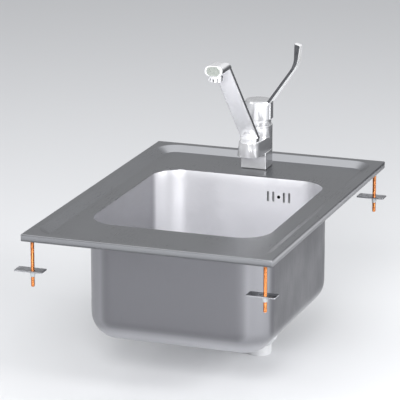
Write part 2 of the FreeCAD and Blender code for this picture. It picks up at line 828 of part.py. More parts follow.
def cartridge():
    """Ceramic cartridge in the column."""
    shape = rod(cartridge_radius, cartridge_seat_z, cartridge_top_z, tap_axis)
    for side in (-1, 1):
        port = rod(waterway_radius, cartridge_seat_z - overrun, cartridge_seat_z + cartridge_radius / 2,
                   Vec(side * inlet_spread, tap_y, 0))
        shape = shape.cut(port)
    return shape


def cartridge_nut():
    """Threaded ring with a domed top, on which the handle cap turns and tilts."""
    thread_foot = column_top_z - nut_thread_height
    zone = rod(dome_radius, column_top_z, dome_top_z, tap_axis)
    dome = Part.makeSphere(dome_radius, tilt_centre).common(zone)
    thread = rod(nut_thread_radius - running_gap, thread_foot, column_top_z, tap_axis)
    shape = dome.fuse(thread)
    shape = shape.cut(rod(cartridge_radius + running_gap, thread_foot - overrun, cartridge_top_z, tap_axis))
    return shape.cut(rod(dome_bore_radius, cartridge_top_z - overrun, dome_top_z + overrun, tap_axis))


def cartridge_carrier():
    """Turning disc with two ears that hold the pivot pin."""
    foot = cartridge_top_z + running_gap
    top = foot + carrier_thickness
    disc = rod(dome_bore_radius - loose_gap, foot, top, tap_axis)
    shape = disc
    for side in (-1, 1):
        inner = tap_y + side * (spindle_half_depth + loose_gap)
        outer = inner + side * carrier_ear_thickness
        ear = block(-carrier_ear_half_width, carrier_ear_half_width, min(inner, outer), max(inner, outer),
                    foot, tilt_z + carrier_ear_rise)
        shape = shape.fuse(ear)
    reach = spindle_half_depth + loose_gap + carrier_ear_thickness
    hole = Part.makeCylinder(pin_radius, 2 * reach + 2 * overrun, Vec(0, tap_y - reach - overrun, tilt_z),
                             ALONG_Y)
    return shape.cut(hole)


def pivot_pin():
    """Pin through the carrier's ears and the spindle."""
    reach = spindle_half_depth + loose_gap + carrier_ear_thickness
    return Part.makeCylinder(pin_radius, 2 * reach, Vec(0, tap_y - reach, tilt_z), ALONG_Y)


def spindle():
    """Stem that carries the handle cap and tilts on the pin."""
    foot = block(-spindle_half_width, spindle_half_width, tap_y - spindle_half_depth,
                 tap_y + spindle_half_depth, tilt_z - spindle_foot_drop, spindle_shoulder_z)
    stem = rod(spindle_radius, spindle_shoulder_z - overrun, spindle_top_z, tap_axis)
    start = Vec(0, tap_y - spindle_half_depth - overrun, tilt_z)
    hole = Part.makeCylinder(pin_radius + running_gap, 2 * (spindle_half_depth + overrun), start, ALONG_Y)
    return foot.fuse(stem).cut(hole)


def cap_outer():
    """Outer form of the handle cap, filled."""
    return turned([(0, cap_foot_z), (cap_radius, cap_foot_z), (cap_radius, cap_top_z - cap_chamfer),
                   (cap_top_radius, cap_top_z), (0, cap_top_z)], tap_axis)


def handle_cap():
    """Round cap, hollow over the dome, with a socket for the spindle."""
    cavity = rod(cap_radius - cap_wall, cap_foot_z - overrun, tilt_z + cap_cavity_height, tap_axis)
    shape = cap_outer().cut(cavity)
    shape = shape.cut(rod(spindle_radius, cap_foot_z, spindle_top_z, tap_axis))
    grub_hole = Part.makeCylinder(grub_radius, cap_radius, Vec(0, tap_y, grub_z), ALONG_Y)
    return shape.cut(grub_hole)


def handle_grub_screw():
    """Grub screw from the cap's back to the spindle."""
    start = tap_y + spindle_radius
    return Part.makeCylinder(grub_radius, grub_length, Vec(0, start, grub_z), ALONG_Y)


def lever_line():
    """Centre points, directions and thicknesses along the lever in the XZ plane."""
    stations = [(lever_start_x, lever_start_z, lever_blade_angle, lever_thickness)]
    x = lever_start_x + lever_blade_run * math.cos(lever_blade_angle)
    z = lever_start_z + lever_blade_run * math.sin(lever_blade_angle)
    bend_length = lever_bend_radius * (lever_tip_angle - lever_blade_angle)
    whole = bend_length + lever_tip_run
    for step in range(lever_bend_steps + 1):
        share = step / lever_bend_steps
        angle = lever_blade_angle + (lever_tip_angle - lever_blade_angle) * share
        here_x = x + lever_bend_radius * (math.sin(angle) - math.sin(lever_blade_angle))
        here_z = z + lever_bend_radius * (math.cos(lever_blade_angle) - math.cos(angle))
        grown = (lever_tip_thickness - lever_thickness) * bend_length * share / whole
        stations.append((here_x, here_z, angle, lever_thickness + grown))
    tip_x = stations[-1][0] + lever_tip_run * math.cos(lever_tip_angle)
    tip_z = stations[-1][1] + lever_tip_run * math.sin(lever_tip_angle)
    stations.append((tip_x, tip_z, lever_tip_angle, lever_tip_thickness))
    return stations


def side_plate(outline, width):
    """Plate with an outline in the XZ plane, centred on the tap."""
    points = [Vec(x, tap_y - width / 2, z) for x, z in outline]
    return Part.Face(Part.makePolygon(points + points[:1])).extrude(ALONG_Y * width)


def lever():
    """Flat bent lever that runs into the cap's side, over a narrow pad that hugs the cap."""
    stations = lever_line()
    right = [(x + t / 2 * math.sin(a), z - t / 2 * math.cos(a)) for x, z, a, t in stations]
    left = [(x - t / 2 * math.sin(a), z + t / 2 * math.cos(a)) for x, z, a, t in stations]
    drop = lever_tip_thickness / 2 * math.tan(lever_end_slope)
    drop_x = drop * math.cos(lever_tip_angle)
    drop_z = drop * math.sin(lever_tip_angle)
    right[-1] = (right[-1][0] - drop_x, right[-1][1] - drop_z)
    left[-1] = (left[-1][0] + drop_x, left[-1][1] + drop_z)
    slope = math.tan(lever_blade_angle)
    root_x = lever_pad_x - lever_root_reach
    under_x, under_z = right[0]
    over_x, over_z = left[0]
    outline = [(root_x, under_z - (under_x - root_x) * slope)] + right + left[::-1]
    outline.append((root_x, over_z - (over_x - root_x) * slope))
    tip_z = stations[-1][1] + lever_tip_thickness
    bend_z = stations[1][1]
    widths = [(lever_root_width, cap_foot_z), (lever_mid_width, bend_z), (lever_tip_width, tip_z)]
    side = [Vec(0, tap_y + width / 2, z) for width, z in widths]
    side += [Vec(0, tap_y - width / 2, z) for width, z in widths[::-1]]
    taper = Part.Face(Part.makePolygon(side + side[:1])).extrude(ALONG_X * (tip_z - cap_foot_z))
    blade = side_plate(outline, lever_root_width).common(taper)
    pad_outline = [(root_x, cap_foot_z), (lever_pad_x, cap_foot_z),
                   (lever_pad_x, under_z - (under_x - lever_pad_x) * slope), (lever_start_x, lever_start_z),
                   (root_x, lever_start_z - (lever_start_x - root_x) * slope)]
    return blade.fuse(side_plate(pad_outline, lever_pad_width)).removeSplitter().cut(cap_outer())


def arm_line():
    """Places of the arm's lower face and the step to its upper face, in the YZ plane."""
    rise = head_bottom_z - arm_foot_z
    run = arm_foot_y - arm_head_y
    length = math.hypot(rise, run)
    step_y = arm_thickness * rise / length
    step_z = arm_thickness * run / length
    return rise, run, length, step_y, step_z


def spout_foot():
    """Round foot with a coned top, filled."""
    side_top = spout_foot_z + spout_foot_side
    foot_top = side_top + spout_foot_cone
    return turned([(0, spout_foot_z), (spout_foot_radius, spout_foot_z), (spout_foot_radius, side_top),
                   (spout_foot_top_radius, foot_top), (0, foot_top)], nose_axis)


def spout_arm():
    """Flat inclined arm that narrows a little toward the head, with rounded long edges."""
    rise, run, length, step_y, step_z = arm_line()
    back = (head_bottom_z - head_middle_z) * run / rise
    level_width = step_y + step_z * run / rise
    outline = [(arm_foot_y, arm_foot_z), (arm_head_y + back, head_middle_z),
               (arm_head_y + back + level_width, head_middle_z), (arm_foot_y + step_y, arm_foot_z + step_z)]
    arm = side_outline(outline, arm_width / 2)
    front = [Vec(-arm_width / 2, 0, arm_foot_z), Vec(arm_width / 2, 0, arm_foot_z),
             Vec(head_width / 2, 0, head_middle_z), Vec(-head_width / 2, 0, head_middle_z)]
    taper = Part.Face(Part.makePolygon(front + front[:1])).extrude(ALONG_Y * (arm_foot_y + step_y))
    arm = arm.common(taper)
    long_edges = [edge for edge in arm.Edges if edge.Length > length / 2]
    return arm.makeFillet(arm_edge_radius, long_edges)


def spout_head():
    """Level head of oblong section; its top bends down into the arm's upper face."""
    rise, run, length, step_y, step_z = arm_line()
    back_y = arm_head_y + step_y + step_z * run / rise
    top_y = back_y - head_height * run / rise
    profile = side_outline([(head_front_y, head_bottom_z), (back_y, head_bottom_z), (top_y, head_top_z),
                            (head_front_y, head_top_z)], head_width / 2)
    bend = [edge for edge in edges_at_height(profile, head_top_z)
            if edge.BoundBox.YMin > head_front_y + running_gap and edge.BoundBox.YLength < running_gap]
    profile = profile.makeFillet(head_bend_radius, bend)
    head = upright_rounded(head_width, head_height, head_corner_radius, head_front_y, back_y, 0,
                           head_middle_z)
    head = head.common(profile)
    front = [edge for edge in head.Edges if edge.BoundBox.YMax < head_front_y + head_edge_radius]
    return head.makeFillet(head_edge_radius, front)


def spout():
    """Swivelling spout: foot over the post, flat inclined arm and a level head."""
    shape = spout_arm().multiFuse([spout_head(), spout_foot()])
    bore_top = post_top_z + overrun
    shape = shape.cut(rod(post_radius + running_gap, spout_foot_z - overrun, bore_top, nose_axis))
    shape = shape.cut(arm_channel())
    plug = upright_rounded(nose_plug_width, nose_plug_height, nose_plug_height / 2 - running_gap,
                           head_front_y - overrun, head_front_y + nose_plug_depth, 0,
                           head_middle_z)
    shape = shape.cut(plug)
    aerator_axis = Vec(0, aerator_y, 0)
    pocket_top = head_bottom_z + aerator_neck_height + overrun
    shape = shape.cut(rod(aerator_neck_radius, head_bottom_z - overrun, pocket_top, aerator_axis))
    screw = Part.makeCylinder(retaining_screw_radius, spout_foot_radius,
                              Vec(0, nose_y, spout_foot_z + spout_foot_side / 2), ALONG_Y)
    return shape.cut(screw)


def arm_channel():
    """Waterway inside the arm, from the foot's bore to the head."""
    rise, run, length, step_y, step_z = arm_line()
    start_y = arm_foot_y + step_y / 2 - run * boss_radius / length
    start_z = arm_foot_z + step_z / 2 + rise * boss_radius / length
    half = arm_channel_height / 2 / arm_thickness
    low = (start_y - step_y * half, start_z - step_z * half)
    high = (start_y + step_y * half, start_z + step_z * half)
    reach = (head_middle_z - start_z) * run / rise
    far_low = (low[0] - reach, low[1] + reach * rise / run)
    far_high = (high[0] - reach, high[1] + reach * rise / run)
    slope = side_outline([low, far_low, far_high, high], arm_channel_width / 2)
    level_foot = head_middle_z - arm_channel_height / 2
    level = block(-arm_channel_width / 2, arm_channel_width / 2, aerator_y - aerator_neck_radius / 2,
                  far_high[0], level_foot, level_foot + arm_channel_height)
    drop = rod(waterway_radius, post_top_z, high[1], nose_axis)
    fall = rod(aerator_neck_radius / 2, head_bottom_z, head_middle_z, Vec(0, aerator_y, 0))
    return slope.multiFuse([level, drop, fall])


def spout_boss():
    """Domed cover of the pivot screw, low on the arm's front face."""
    rise, run, length, step_y, step_z = arm_line()
    centre_y = arm_foot_y - run * boss_above_foot / length
    centre_z = arm_foot_z + rise * boss_above_foot / length
    normal = Vec(0, -rise / length, -run / length)
    sphere_radius = (boss_radius ** 2 + boss_height ** 2) / (2 * boss_height)
    centre = Vec(0, centre_y, centre_z)
    ball = Part.makeSphere(sphere_radius, centre - normal * (sphere_radius - boss_height))
    keep = Part.makeCylinder(sphere_radius, sphere_radius, centre, normal)
    return ball.common(keep).cut(spout_foot())


def nose_plug():
    """Oval plug in the head's front face."""
    return upright_rounded(nose_plug_width, nose_plug_height, nose_plug_height / 2 - running_gap,
                           head_front_y - nose_plug_stand, head_front_y + nose_plug_depth, 0,
                           head_middle_z)


def spout_post():
    """Hollow post in the nose, on which the spout swivels, with two ring grooves."""
    shape = pipe(post_radius, post_bore_radius, post_foot_z, post_top_z, nose_axis)
    for index in range(2):
        centre_z = o_ring_first_z + index * o_ring_pitch
        low = centre_z - ring_groove_height / 2
        groove = pipe(post_radius + overrun, post_radius - ring_groove_depth, low,
                      low + ring_groove_height, nose_axis)
        shape = shape.cut(groove)
    port = Part.makeCylinder(waterway_radius, post_radius, Vec(0, nose_y, waterway_z), ALONG_Y)
    return shape.cut(port)


def spout_o_rings():
    """Two rubber rings in the post's grooves."""
    rings = []
    for index in range(2):
        centre = Vec(0, nose_y, o_ring_first_z + index * o_ring_pitch)
        rings.append(Part.makeTorus(post_radius - o_ring_radius, o_ring_radius - running_gap, centre))
    return Part.makeCompound(rings)


def swivel_washer():
    """Thin slip washer between the nose and the spout's foot."""
    return pipe(spout_foot_radius, post_radius + running_gap, lower_body_top_z, spout_foot_z, nose_axis)


def spout_retaining_screw():
    """Short screw in the back of the spout's foot."""
    start = nose_y + post_radius + running_gap * 4
    end = nose_y + spout_foot_radius
    return Part.makeCylinder(retaining_screw_radius, end - start,
                             Vec(0, start, spout_foot_z + spout_foot_side / 2), ALONG_Y)


def aerator_housing():
    """Ring under the head, castellated by open slots from its foot, and a neck in the head."""
    centre = Vec(0, aerator_y, 0)
    foot = head_bottom_z - aerator_height
    bore = aerator_neck_radius - aerator_wall
    shape = pipe(aerator_radius, bore, foot, head_bottom_z, centre)
    shape = shape.fuse(pipe(aerator_neck_radius, bore, head_bottom_z, head_bottom_z + aerator_neck_height,
                            centre))
    for index in range(aerator_slot_count):
        slot = block(0, aerator_radius + overrun, -aerator_slot_width / 2, aerator_slot_width / 2,
                     foot - overrun, foot + aerator_slot_height)
        slot.rotate(Vec(0, 0, 0), UP, 360.0 * index / aerator_slot_count)
        slot.translate(centre)
        shape = shape.cut(slot)
    return shape


def aerator_insert():
    """Perforated disc in the aerator's bore."""
    radius = aerator_neck_radius - aerator_wall
    foot = head_bottom_z - aerator_height + aerator_slot_height
    top = foot + aerator_insert_height
    shape = rod(radius, foot, top)
    for circle in range(1, aerator_hole_circles + 1):
        at = aerator_hole_pitch * circle - aerator_hole_radius
        count = int(2 * math.pi * at / aerator_hole_pitch)
        holes = ring_of(lambda x, y: rod(aerator_hole_radius, foot - overrun, top + overrun, Vec(x, y, 0)),
                        count, at)
        shape = shape.cut(holes)
    shape.translate(Vec(0, aerator_y, 0))
    return shape


os.makedirs("parts", exist_ok=True)

for piece in (deck_pressing, bowl_pressing, rim_seal, strainer_cup, lower_washer, waste_body,
              outlet_ring_nut, waste_outlet, waste_screw, basket_strainer, basket_knob, basket_seal,
              overflow_gasket, overflow_housing, overflow_screw, tap_body, tap_base_gasket, tap_shank,
              rubber_washer, steel_washer, fixing_nut, cartridge, cartridge_nut, cartridge_carrier,
              pivot_pin, spindle, handle_cap, handle_grub_screw, lever, spout, spout_boss, nose_plug,
              spout_post, spout_o_rings, swivel_washer, spout_retaining_screw, aerator_housing,
              aerator_insert):
    save(piece.__name__, piece())

save("waste_gasket", waste_gasket_ring())
save("weld_nuts", Part.makeCompound(list(at_corners(weld_nut).values())))
save("clamp_rods", Part.makeCompound(list(at_corners(clamp_rod).values())))
for corner, shape in at_corners(clamp_plate).items():
    save("clamp_plate_" + corner, shape)
for corner, shape in at_corners(clamp_nut).items():
    save("clamp_nut_" + corner, shape)
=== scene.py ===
import math

import bpy
import numpy as np
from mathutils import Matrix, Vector


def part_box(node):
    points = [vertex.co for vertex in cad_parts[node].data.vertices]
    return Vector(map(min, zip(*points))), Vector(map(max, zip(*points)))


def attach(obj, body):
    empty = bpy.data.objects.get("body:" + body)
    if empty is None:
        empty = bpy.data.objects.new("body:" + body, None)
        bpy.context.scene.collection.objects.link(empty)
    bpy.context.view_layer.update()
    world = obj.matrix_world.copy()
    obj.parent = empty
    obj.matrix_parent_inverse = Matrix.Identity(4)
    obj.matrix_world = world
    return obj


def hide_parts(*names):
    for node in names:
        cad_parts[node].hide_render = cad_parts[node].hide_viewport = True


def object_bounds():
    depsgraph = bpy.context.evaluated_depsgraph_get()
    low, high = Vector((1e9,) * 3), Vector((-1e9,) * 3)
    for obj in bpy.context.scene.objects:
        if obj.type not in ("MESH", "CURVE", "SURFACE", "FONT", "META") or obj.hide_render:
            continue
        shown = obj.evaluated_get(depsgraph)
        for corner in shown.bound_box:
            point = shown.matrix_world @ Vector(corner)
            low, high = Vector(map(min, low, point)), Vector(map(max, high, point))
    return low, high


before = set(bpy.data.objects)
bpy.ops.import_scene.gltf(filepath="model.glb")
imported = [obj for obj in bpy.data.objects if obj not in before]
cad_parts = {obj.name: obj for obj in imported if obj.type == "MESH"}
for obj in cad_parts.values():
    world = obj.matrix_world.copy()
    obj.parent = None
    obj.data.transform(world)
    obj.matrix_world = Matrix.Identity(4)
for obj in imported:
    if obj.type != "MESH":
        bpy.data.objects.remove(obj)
cad_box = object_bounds()

# The studio: a wide pale floor under the waste pipe's end, a broad soft lamp overhead, a key lamp in front
# that reaches into the bowl, a soft lamp from the right for the bowl's outer wall, and a weak fill from
# the left.
mm = 0.001
floor_z = cad_box[0][2]
floor_radius = 12.0
pale_tone = "dbdcde"
lamp_tone = "ffffff"
floor_sides = 96


def linear(hex_colour):
    """Linear RGBA of an sRGB hex colour, by the sRGB curve: c/12.92, or ((c + 0.055)/1.055)^2.4."""
    srgb = np.array([int(hex_colour[k:k + 2], 16) for k in (0, 2, 4)]) / 255.0
    low = srgb / 12.92
    high = ((srgb + 0.055) / 1.055) ** 2.4
    return tuple(np.where(srgb <= 0.04045, low, high)) + (1.0,)


def add_node(tree, kind, settings=(), **inputs):
    """One shader node with its settings; an input is a value, or an output socket to link from."""
    node = tree.nodes.new(kind)
    for name, value in dict(settings).items():
        setattr(node, name, value)
    for name, value in inputs.items():
        key = int(name[2:]) if name.startswith("in") and name[2:].isdigit() else name.replace("_", " ")
        if isinstance(value, bpy.types.NodeSocket):
            tree.links.new(value, node.inputs[key])
        else:
            node.inputs[key].default_value = value
    return node


def lamp(name, place, target, width, height, watts):
    """Soft rectangular lamp that looks at a point."""
    data = bpy.data.lights.new(name, "AREA")
    data.shape = "RECTANGLE"
    data.size = width
    data.size_y = height
    data.energy = watts
    data.color = linear(lamp_tone)[:3]
    lamp_object = bpy.data.objects.new(name, data)
    lamp_object.location = place
    lamp_object.rotation_euler = (Vector(target) - Vector(place)).to_track_quat("-Z", "Y").to_euler()
    bpy.context.scene.collection.objects.link(lamp_object)


lamp("overhead_softbox", place=(-0.2, 0.5, 2.6), target=(0, 0, 0), width=3.2, height=3.0, watts=30)
lamp("front_key", place=(0.7, -3.3, 1.4), target=(0, 0.1, -0.05), width=1.2, height=2.0, watts=140)
lamp("left_fill", place=(-2.2, -1.6, 1.4), target=(0, 0, 0), width=1.6, height=1.4, watts=10)
lamp("right_softbox", place=(2.6, -0.5, 0.95), target=(0, 0, -0.05), width=0.8, height=1.5, watts=60)

turn = np.linspace(0, 2 * math.pi, floor_sides, endpoint=False)
floor_ring = np.column_stack([floor_radius * np.cos(turn), floor_radius * np.sin(turn), 0 * turn + floor_z])
floor_mesh = bpy.data.meshes.new("studio_floor")
floor_mesh.from_pydata(floor_ring.tolist(), [], [list(range(len(turn)))])
studio_floor = bpy.data.objects.new("studio_floor", floor_mesh)
bpy.context.scene.collection.objects.link(studio_floor)

floor_paint = bpy.data.materials.new("matt_floor_paint")
floor_paint.use_nodes = True
floor_tree = floor_paint.node_tree
floor_tree.nodes.clear()
floor_shade = add_node(floor_tree, "ShaderNodeBsdfPrincipled", Base_Color=linear(pale_tone), Roughness=0.9)
add_node(floor_tree, "ShaderNodeOutputMaterial", Surface=floor_shade.outputs[0])
floor_mesh.materials.append(floor_paint)

# A dark flag lies on the floor behind and right of the tap, seen only in mirrors: it darkens the sides
# that face right.
flag_tone = "2c2d30"
flag_low = (0.12, 1.1)
flag_high = (2.2, 4.5)
flag_mesh = bpy.data.meshes.new("dark_flag")
flag_z = floor_z + mm
flag_mesh.from_pydata([(flag_low[0], flag_low[1], flag_z), (flag_high[0], flag_low[1], flag_z),
                       (flag_high[0], flag_high[1], flag_z), (flag_low[0], flag_high[1], flag_z)],
                      [], [(0, 1, 2, 3)])
dark_flag = bpy.data.objects.new("dark_flag", flag_mesh)
bpy.context.scene.collection.objects.link(dark_flag)
dark_flag.visible_camera = False
dark_flag.visible_diffuse = False
dark_flag.visible_shadow = False
flag_cloth = bpy.data.materials.new("dark_flag_cloth")
flag_cloth.use_nodes = True
flag_tree = flag_cloth.node_tree
flag_tree.nodes.clear()
flag_shade = add_node(flag_tree, "ShaderNodeBsdfPrincipled", Base_Color=linear(flag_tone), Roughness=0.9)
add_node(flag_tree, "ShaderNodeOutputMaterial", Surface=flag_shade.outputs[0])
flag_mesh.materials.append(flag_cloth)

# The air is a pale dome for the camera and soft fill for the floor. Mirrors see it dim at the level of
# the walls and bright overhead, as in a studio under a ceiling of cloth.
dome_seen = 1.2
dome_fill = 0.7
dome_wall = 0.58
dome_ceiling = 1.25
wall_top = 0.25
ceiling_foot = 0.85
world = bpy.data.worlds.new("studio_air")
world.use_nodes = True
air = world.node_tree
air.nodes.clear()
way = add_node(air, "ShaderNodeTexCoord")
height = add_node(air, "ShaderNodeSeparateXYZ", Vector=way.outputs["Generated"])
ceiling = add_node(air, "ShaderNodeMapRange", {"interpolation_type": "SMOOTHSTEP"}, Value=height.outputs[2],
                   From_Min=wall_top, From_Max=ceiling_foot, To_Min=dome_wall, To_Max=dome_ceiling)
ray = add_node(air, "ShaderNodeLightPath")
mirrored = add_node(air, "ShaderNodeMix", in0=ray.outputs["Is Glossy Ray"], in2=dome_fill,
                    in3=ceiling.outputs[0])
seen = add_node(air, "ShaderNodeMix", in0=ray.outputs["Is Camera Ray"], in2=mirrored.outputs[0],
                in3=dome_seen)
sky = add_node(air, "ShaderNodeBackground", Color=linear(pale_tone), Strength=seen.outputs[0])
add_node(air, "ShaderNodeOutputWorld", Surface=sky.outputs[0])
bpy.context.scene.world = world

# The camera stands right of the sink's front, 5 m away behind a long lens, and looks a little down.
camera_place = (1.64992, -4.65283, 1.4075)
camera_yaw = math.radians(-19.76)
camera_dip = math.radians(15.86)
camera_data = bpy.data.cameras.new("studio_camera")
camera_data.lens = 251.28
camera_data.sensor_width = 36.0
camera_data.clip_end = 100.0
camera = bpy.data.objects.new("studio_camera", camera_data)
camera.location = camera_place
sight = Vector((math.sin(camera_yaw) * math.cos(camera_dip), math.cos(camera_yaw) * math.cos(camera_dip),
                -math.sin(camera_dip)))
camera.rotation_euler = sight.to_track_quat("-Z", "Y").to_euler()
bpy.context.scene.collection.objects.link(camera)
bpy.context.scene.camera = camera
bpy.context.scene.view_settings.view_transform = "Standard"

# The deck pressing is 1.2 mm stainless sheet: a turned-down edge, a flat border, a slope down to the
# recessed deck and the bowl's mouth, all pressed from one blank. It is spot welded to the bowl's flange.
deck_high = np.array(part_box("deck_pressing")[1]) / mm
bowl_low, bowl_high = [np.array(corner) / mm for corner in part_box("bowl_pressing")]
sheet = 1.2
rim_half_x, rim_half_y, rim_z = deck_high
rim_corner = 2.5
rim_edge = 1.8
border = 16.0
slope_run = 17.5
slope_drop = 10.0
recess_corner = 24.0
border_corner = 0.9
border_corner_grown = 1.0
border_corner_growth = 40.0
press_radius = 1.0
least_corner = 0.6
plane_margin = 0.4
border_shares = (0.35, 0.7)
deck_shares = (0.03, 0.25, 0.5, 0.75, 0.97, 1.0)
press_steps = 5
mouth_half_x = 168.5
mouth_half_y = 199.3
mouth_middle_y = -5.0
mouth_corner = 56.0
mouth_lip = 0.35
steel_tone = "929396"


def hull_ring(circles, arc_steps, line_steps):
    """Anticlockwise outline round circles (x, y, radius): arcs joined by their outer tangents.

    The tangent from one circle to the next touches both at the direction n with n.d = r1 - r2, where d
    joins the centres; each arc runs from one tangent's direction to the next one's.
    """
    places = np.array([circle[:2] for circle in circles], float)
    radii = np.array([circle[2] for circle in circles], float)
    step = np.roll(places, -1, 0) - places
    length = np.hypot(step[:, 0], step[:, 1])[:, None]
    along = step / length
    right = np.column_stack([along[:, 1], -along[:, 0]])
    lean = (radii - np.roll(radii, -1))[:, None] / length
    normal = along * lean + right * np.sqrt(1 - lean ** 2)
    leave = np.arctan2(normal[:, 1], normal[:, 0])
    arrive = np.roll(leave, 1)
    sweep = (leave - arrive) % (2 * math.pi)
    pieces = []
    for k in range(len(circles)):
        angle = arrive[k] + sweep[k] * np.linspace(0, 1, arc_steps + 1)
        arc = places[k] + radii[k] * np.column_stack([np.cos(angle), np.sin(angle)])
        after = (k + 1) % len(circles)
        target = places[after] + radii[after] * normal[k]
        share = np.linspace(0, 1, line_steps + 1)[1:-1, None]
        pieces += [arc, arc[-1] + (target - arc[-1]) * share]
    return np.vstack(pieces)


def rounded_ring(half_x, half_y, corner, middle_y=0.0, arc_steps=16, line_steps=24):
    """Rounded rectangle about (0, middle_y), as the hull of its four corner circles."""
    reach_x = half_x - corner
    reach_y = half_y - corner
    circles = [(reach_x, middle_y + reach_y, corner), (-reach_x, middle_y + reach_y, corner),
               (-reach_x, middle_y - reach_y, corner), (reach_x, middle_y - reach_y, corner)]
    return hull_ring(circles, arc_steps, line_steps)


def at_height(ring, height):
    """The flat ring lifted to a height."""
    return np.column_stack([ring, np.full(len(ring), height)])


def skin(name, rows, close_foot=False, close_top=False, wrap_rows=False, smooth=True):
    """Mesh object on a grid of closed rows: quads join each row to the next, ends may be closed.

    Faces point outward where the rows climb and their points run anticlockwise seen from above.
    """
    rows = np.array(rows)
    count, columns = rows.shape[:2]
    row = np.arange(count if wrap_rows else count - 1)[:, None]
    column = np.arange(columns)[None, :]
    after = (column + 1) % columns
    above = (row + 1) % count
    quads = np.stack([row * columns + column, row * columns + after, above * columns + after,
                      above * columns + column], -1).reshape(-1, 4)
    faces = quads.tolist()
    if close_foot:
        faces.append(list(range(columns))[::-1])
    if close_top:
        faces.append(list(range((count - 1) * columns, count * columns)))
    mesh = bpy.data.meshes.new(name)
    mesh.from_pydata((rows.reshape(-1, 3) * mm).tolist(), [], faces)
    mesh.polygons.foreach_set("use_smooth", np.full(len(mesh.polygons), smooth))
    mesh.update()
    made = bpy.data.objects.new(name, mesh)
    bpy.context.scene.collection.objects.link(made)
    return made


def thicken(made, thickness, back_slot=0):
    """Sheet thickness behind the modelled face; the back may take a later material slot."""
    solidify = made.modifiers.new("sheet", "SOLIDIFY")
    solidify.thickness = thickness * mm
    solidify.offset = -1.0
    solidify.use_even_offset = True
    solidify.material_offset = back_slot
    solidify.material_offset_rim = back_slot


def metal(name, tone, roughness, streak=(3.0, 3.0, 3.0), streak_depth=0.06, cloud=90.0, cloud_depth=0.06,
          tone_depth=0.05, bump=0.0, metallic=1.0):
    """Bare or plated metal. Streaks vary the roughness and height; clouds are wiped films and handling.

    streak is the streak's size in mm along X, Y and Z, cloud the size of a cloud in mm.
    """
    material = bpy.data.materials.new(name)
    material.use_nodes = True
    tree = material.node_tree
    tree.nodes.clear()
    place = add_node(tree, "ShaderNodeTexCoord")
    stretch = tuple(1.0 / (size * mm) for size in streak)
    grain_place = add_node(tree, "ShaderNodeMapping", Vector=place.outputs["Object"], Scale=stretch)
    grain = add_node(tree, "ShaderNodeTexNoise", Vector=grain_place.outputs[0], Scale=1.0, Detail=3.0)
    clouds = add_node(tree, "ShaderNodeTexNoise", Vector=place.outputs["Object"], Scale=1.0 / (cloud * mm),
                      Detail=2.0, Roughness=0.5)
    dull = add_node(tree, "ShaderNodeMapRange", Value=grain.outputs[0], From_Min=0.3, From_Max=0.7,
                    To_Min=-streak_depth, To_Max=streak_depth)
    film = add_node(tree, "ShaderNodeMapRange", Value=clouds.outputs[0], From_Min=0.35, From_Max=0.65,
                    To_Min=roughness - cloud_depth, To_Max=roughness + cloud_depth)
    rough = add_node(tree, "ShaderNodeMath", {"operation": "ADD"}, in0=dull.outputs[0], in1=film.outputs[0])
    deep = tuple(channel * (1.0 - tone_depth) for channel in linear(tone)[:3]) + (1.0,)
    colour = add_node(tree, "ShaderNodeMix", {"data_type": "RGBA"}, in0=clouds.outputs[0],
                      in6=deep, in7=linear(tone))
    shade = add_node(tree, "ShaderNodeBsdfPrincipled", Base_Color=colour.outputs[2], Metallic=metallic,
                     Roughness=rough.outputs[0])
    if bump:
        relief = add_node(tree, "ShaderNodeBump", Height=grain.outputs[0], Distance=bump * mm, Strength=0.5)
        tree.links.new(relief.outputs[0], shade.inputs["Normal"])
    add_node(tree, "ShaderNodeOutputMaterial", Surface=shade.outputs[0])
    return material


def dress(material, *nodes):
    """Give CAD nodes one material in place of their plain one."""
    for node in nodes:
        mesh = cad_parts[node].data
        mesh.materials.clear()
        mesh.materials.append(material)


# A fine long grain along Y, as a belt leaves it, with a few wiped clouds: dull mid grey that still shows
# a soft reflection of the tap.
deck_steel = metal("brushed_stainless_deck", steel_tone, 0.30, streak=(0.6, 30.0, 0.6), streak_depth=0.025,
                   cloud=120.0, cloud_depth=0.02, bump=0.006)
quarter = np.linspace(0, 1, 6) * math.pi / 2
deck_rows = [at_height(rounded_ring(rim_half_x, rim_half_y, rim_corner), 0.0)]
for angle in quarter:
    inset = rim_edge * (1 - math.cos(angle))
    ring = rounded_ring(rim_half_x - inset, rim_half_y - inset, max(rim_corner - inset, least_corner))
    deck_rows.append(at_height(ring, rim_z - rim_edge * (1 - math.sin(angle))))
slope_angle = math.atan2(slope_drop, slope_run)
crease = press_radius * math.tan(slope_angle / 2)
deck_z = rim_z - slope_drop


def recess_row(inset, corner, height):
    """One row of the recess at an inset from the rim's edge."""
    return at_height(rounded_ring(rim_half_x - inset, rim_half_y - inset, corner), height)


# The corners open out from the sharp rim to the round recess over the flat border. From there on, the
# corner arcs share one centre, so that the slope keeps its run round each corner.
deck_rows.append(recess_row(rim_edge + plane_margin, border_corner, rim_z))
for share in border_shares:
    corner = border_corner_grown + border_corner_growth * share ** 2
    deck_rows.append(recess_row(rim_edge + (border - rim_edge) * share, corner, rim_z))
for turn_share in np.linspace(0, 1, press_steps):
    angle = slope_angle * turn_share
    inset = border - crease + press_radius * math.sin(angle)
    deck_rows.append(recess_row(inset, recess_corner + slope_run + border - inset,
                                rim_z - press_radius * (1 - math.cos(angle))))
for turn_share in np.linspace(1, 0, press_steps):
    angle = slope_angle * turn_share
    inset = border + slope_run + crease - press_radius * math.sin(angle)
    deck_rows.append(recess_row(inset, recess_corner + slope_run + border - inset,
                                deck_z + press_radius * (1 - math.cos(angle))))
slope_foot = deck_rows[-1]
mouth_ring = rounded_ring(mouth_half_x + mouth_lip, mouth_half_y + mouth_lip, mouth_corner + mouth_lip,
                          mouth_middle_y)
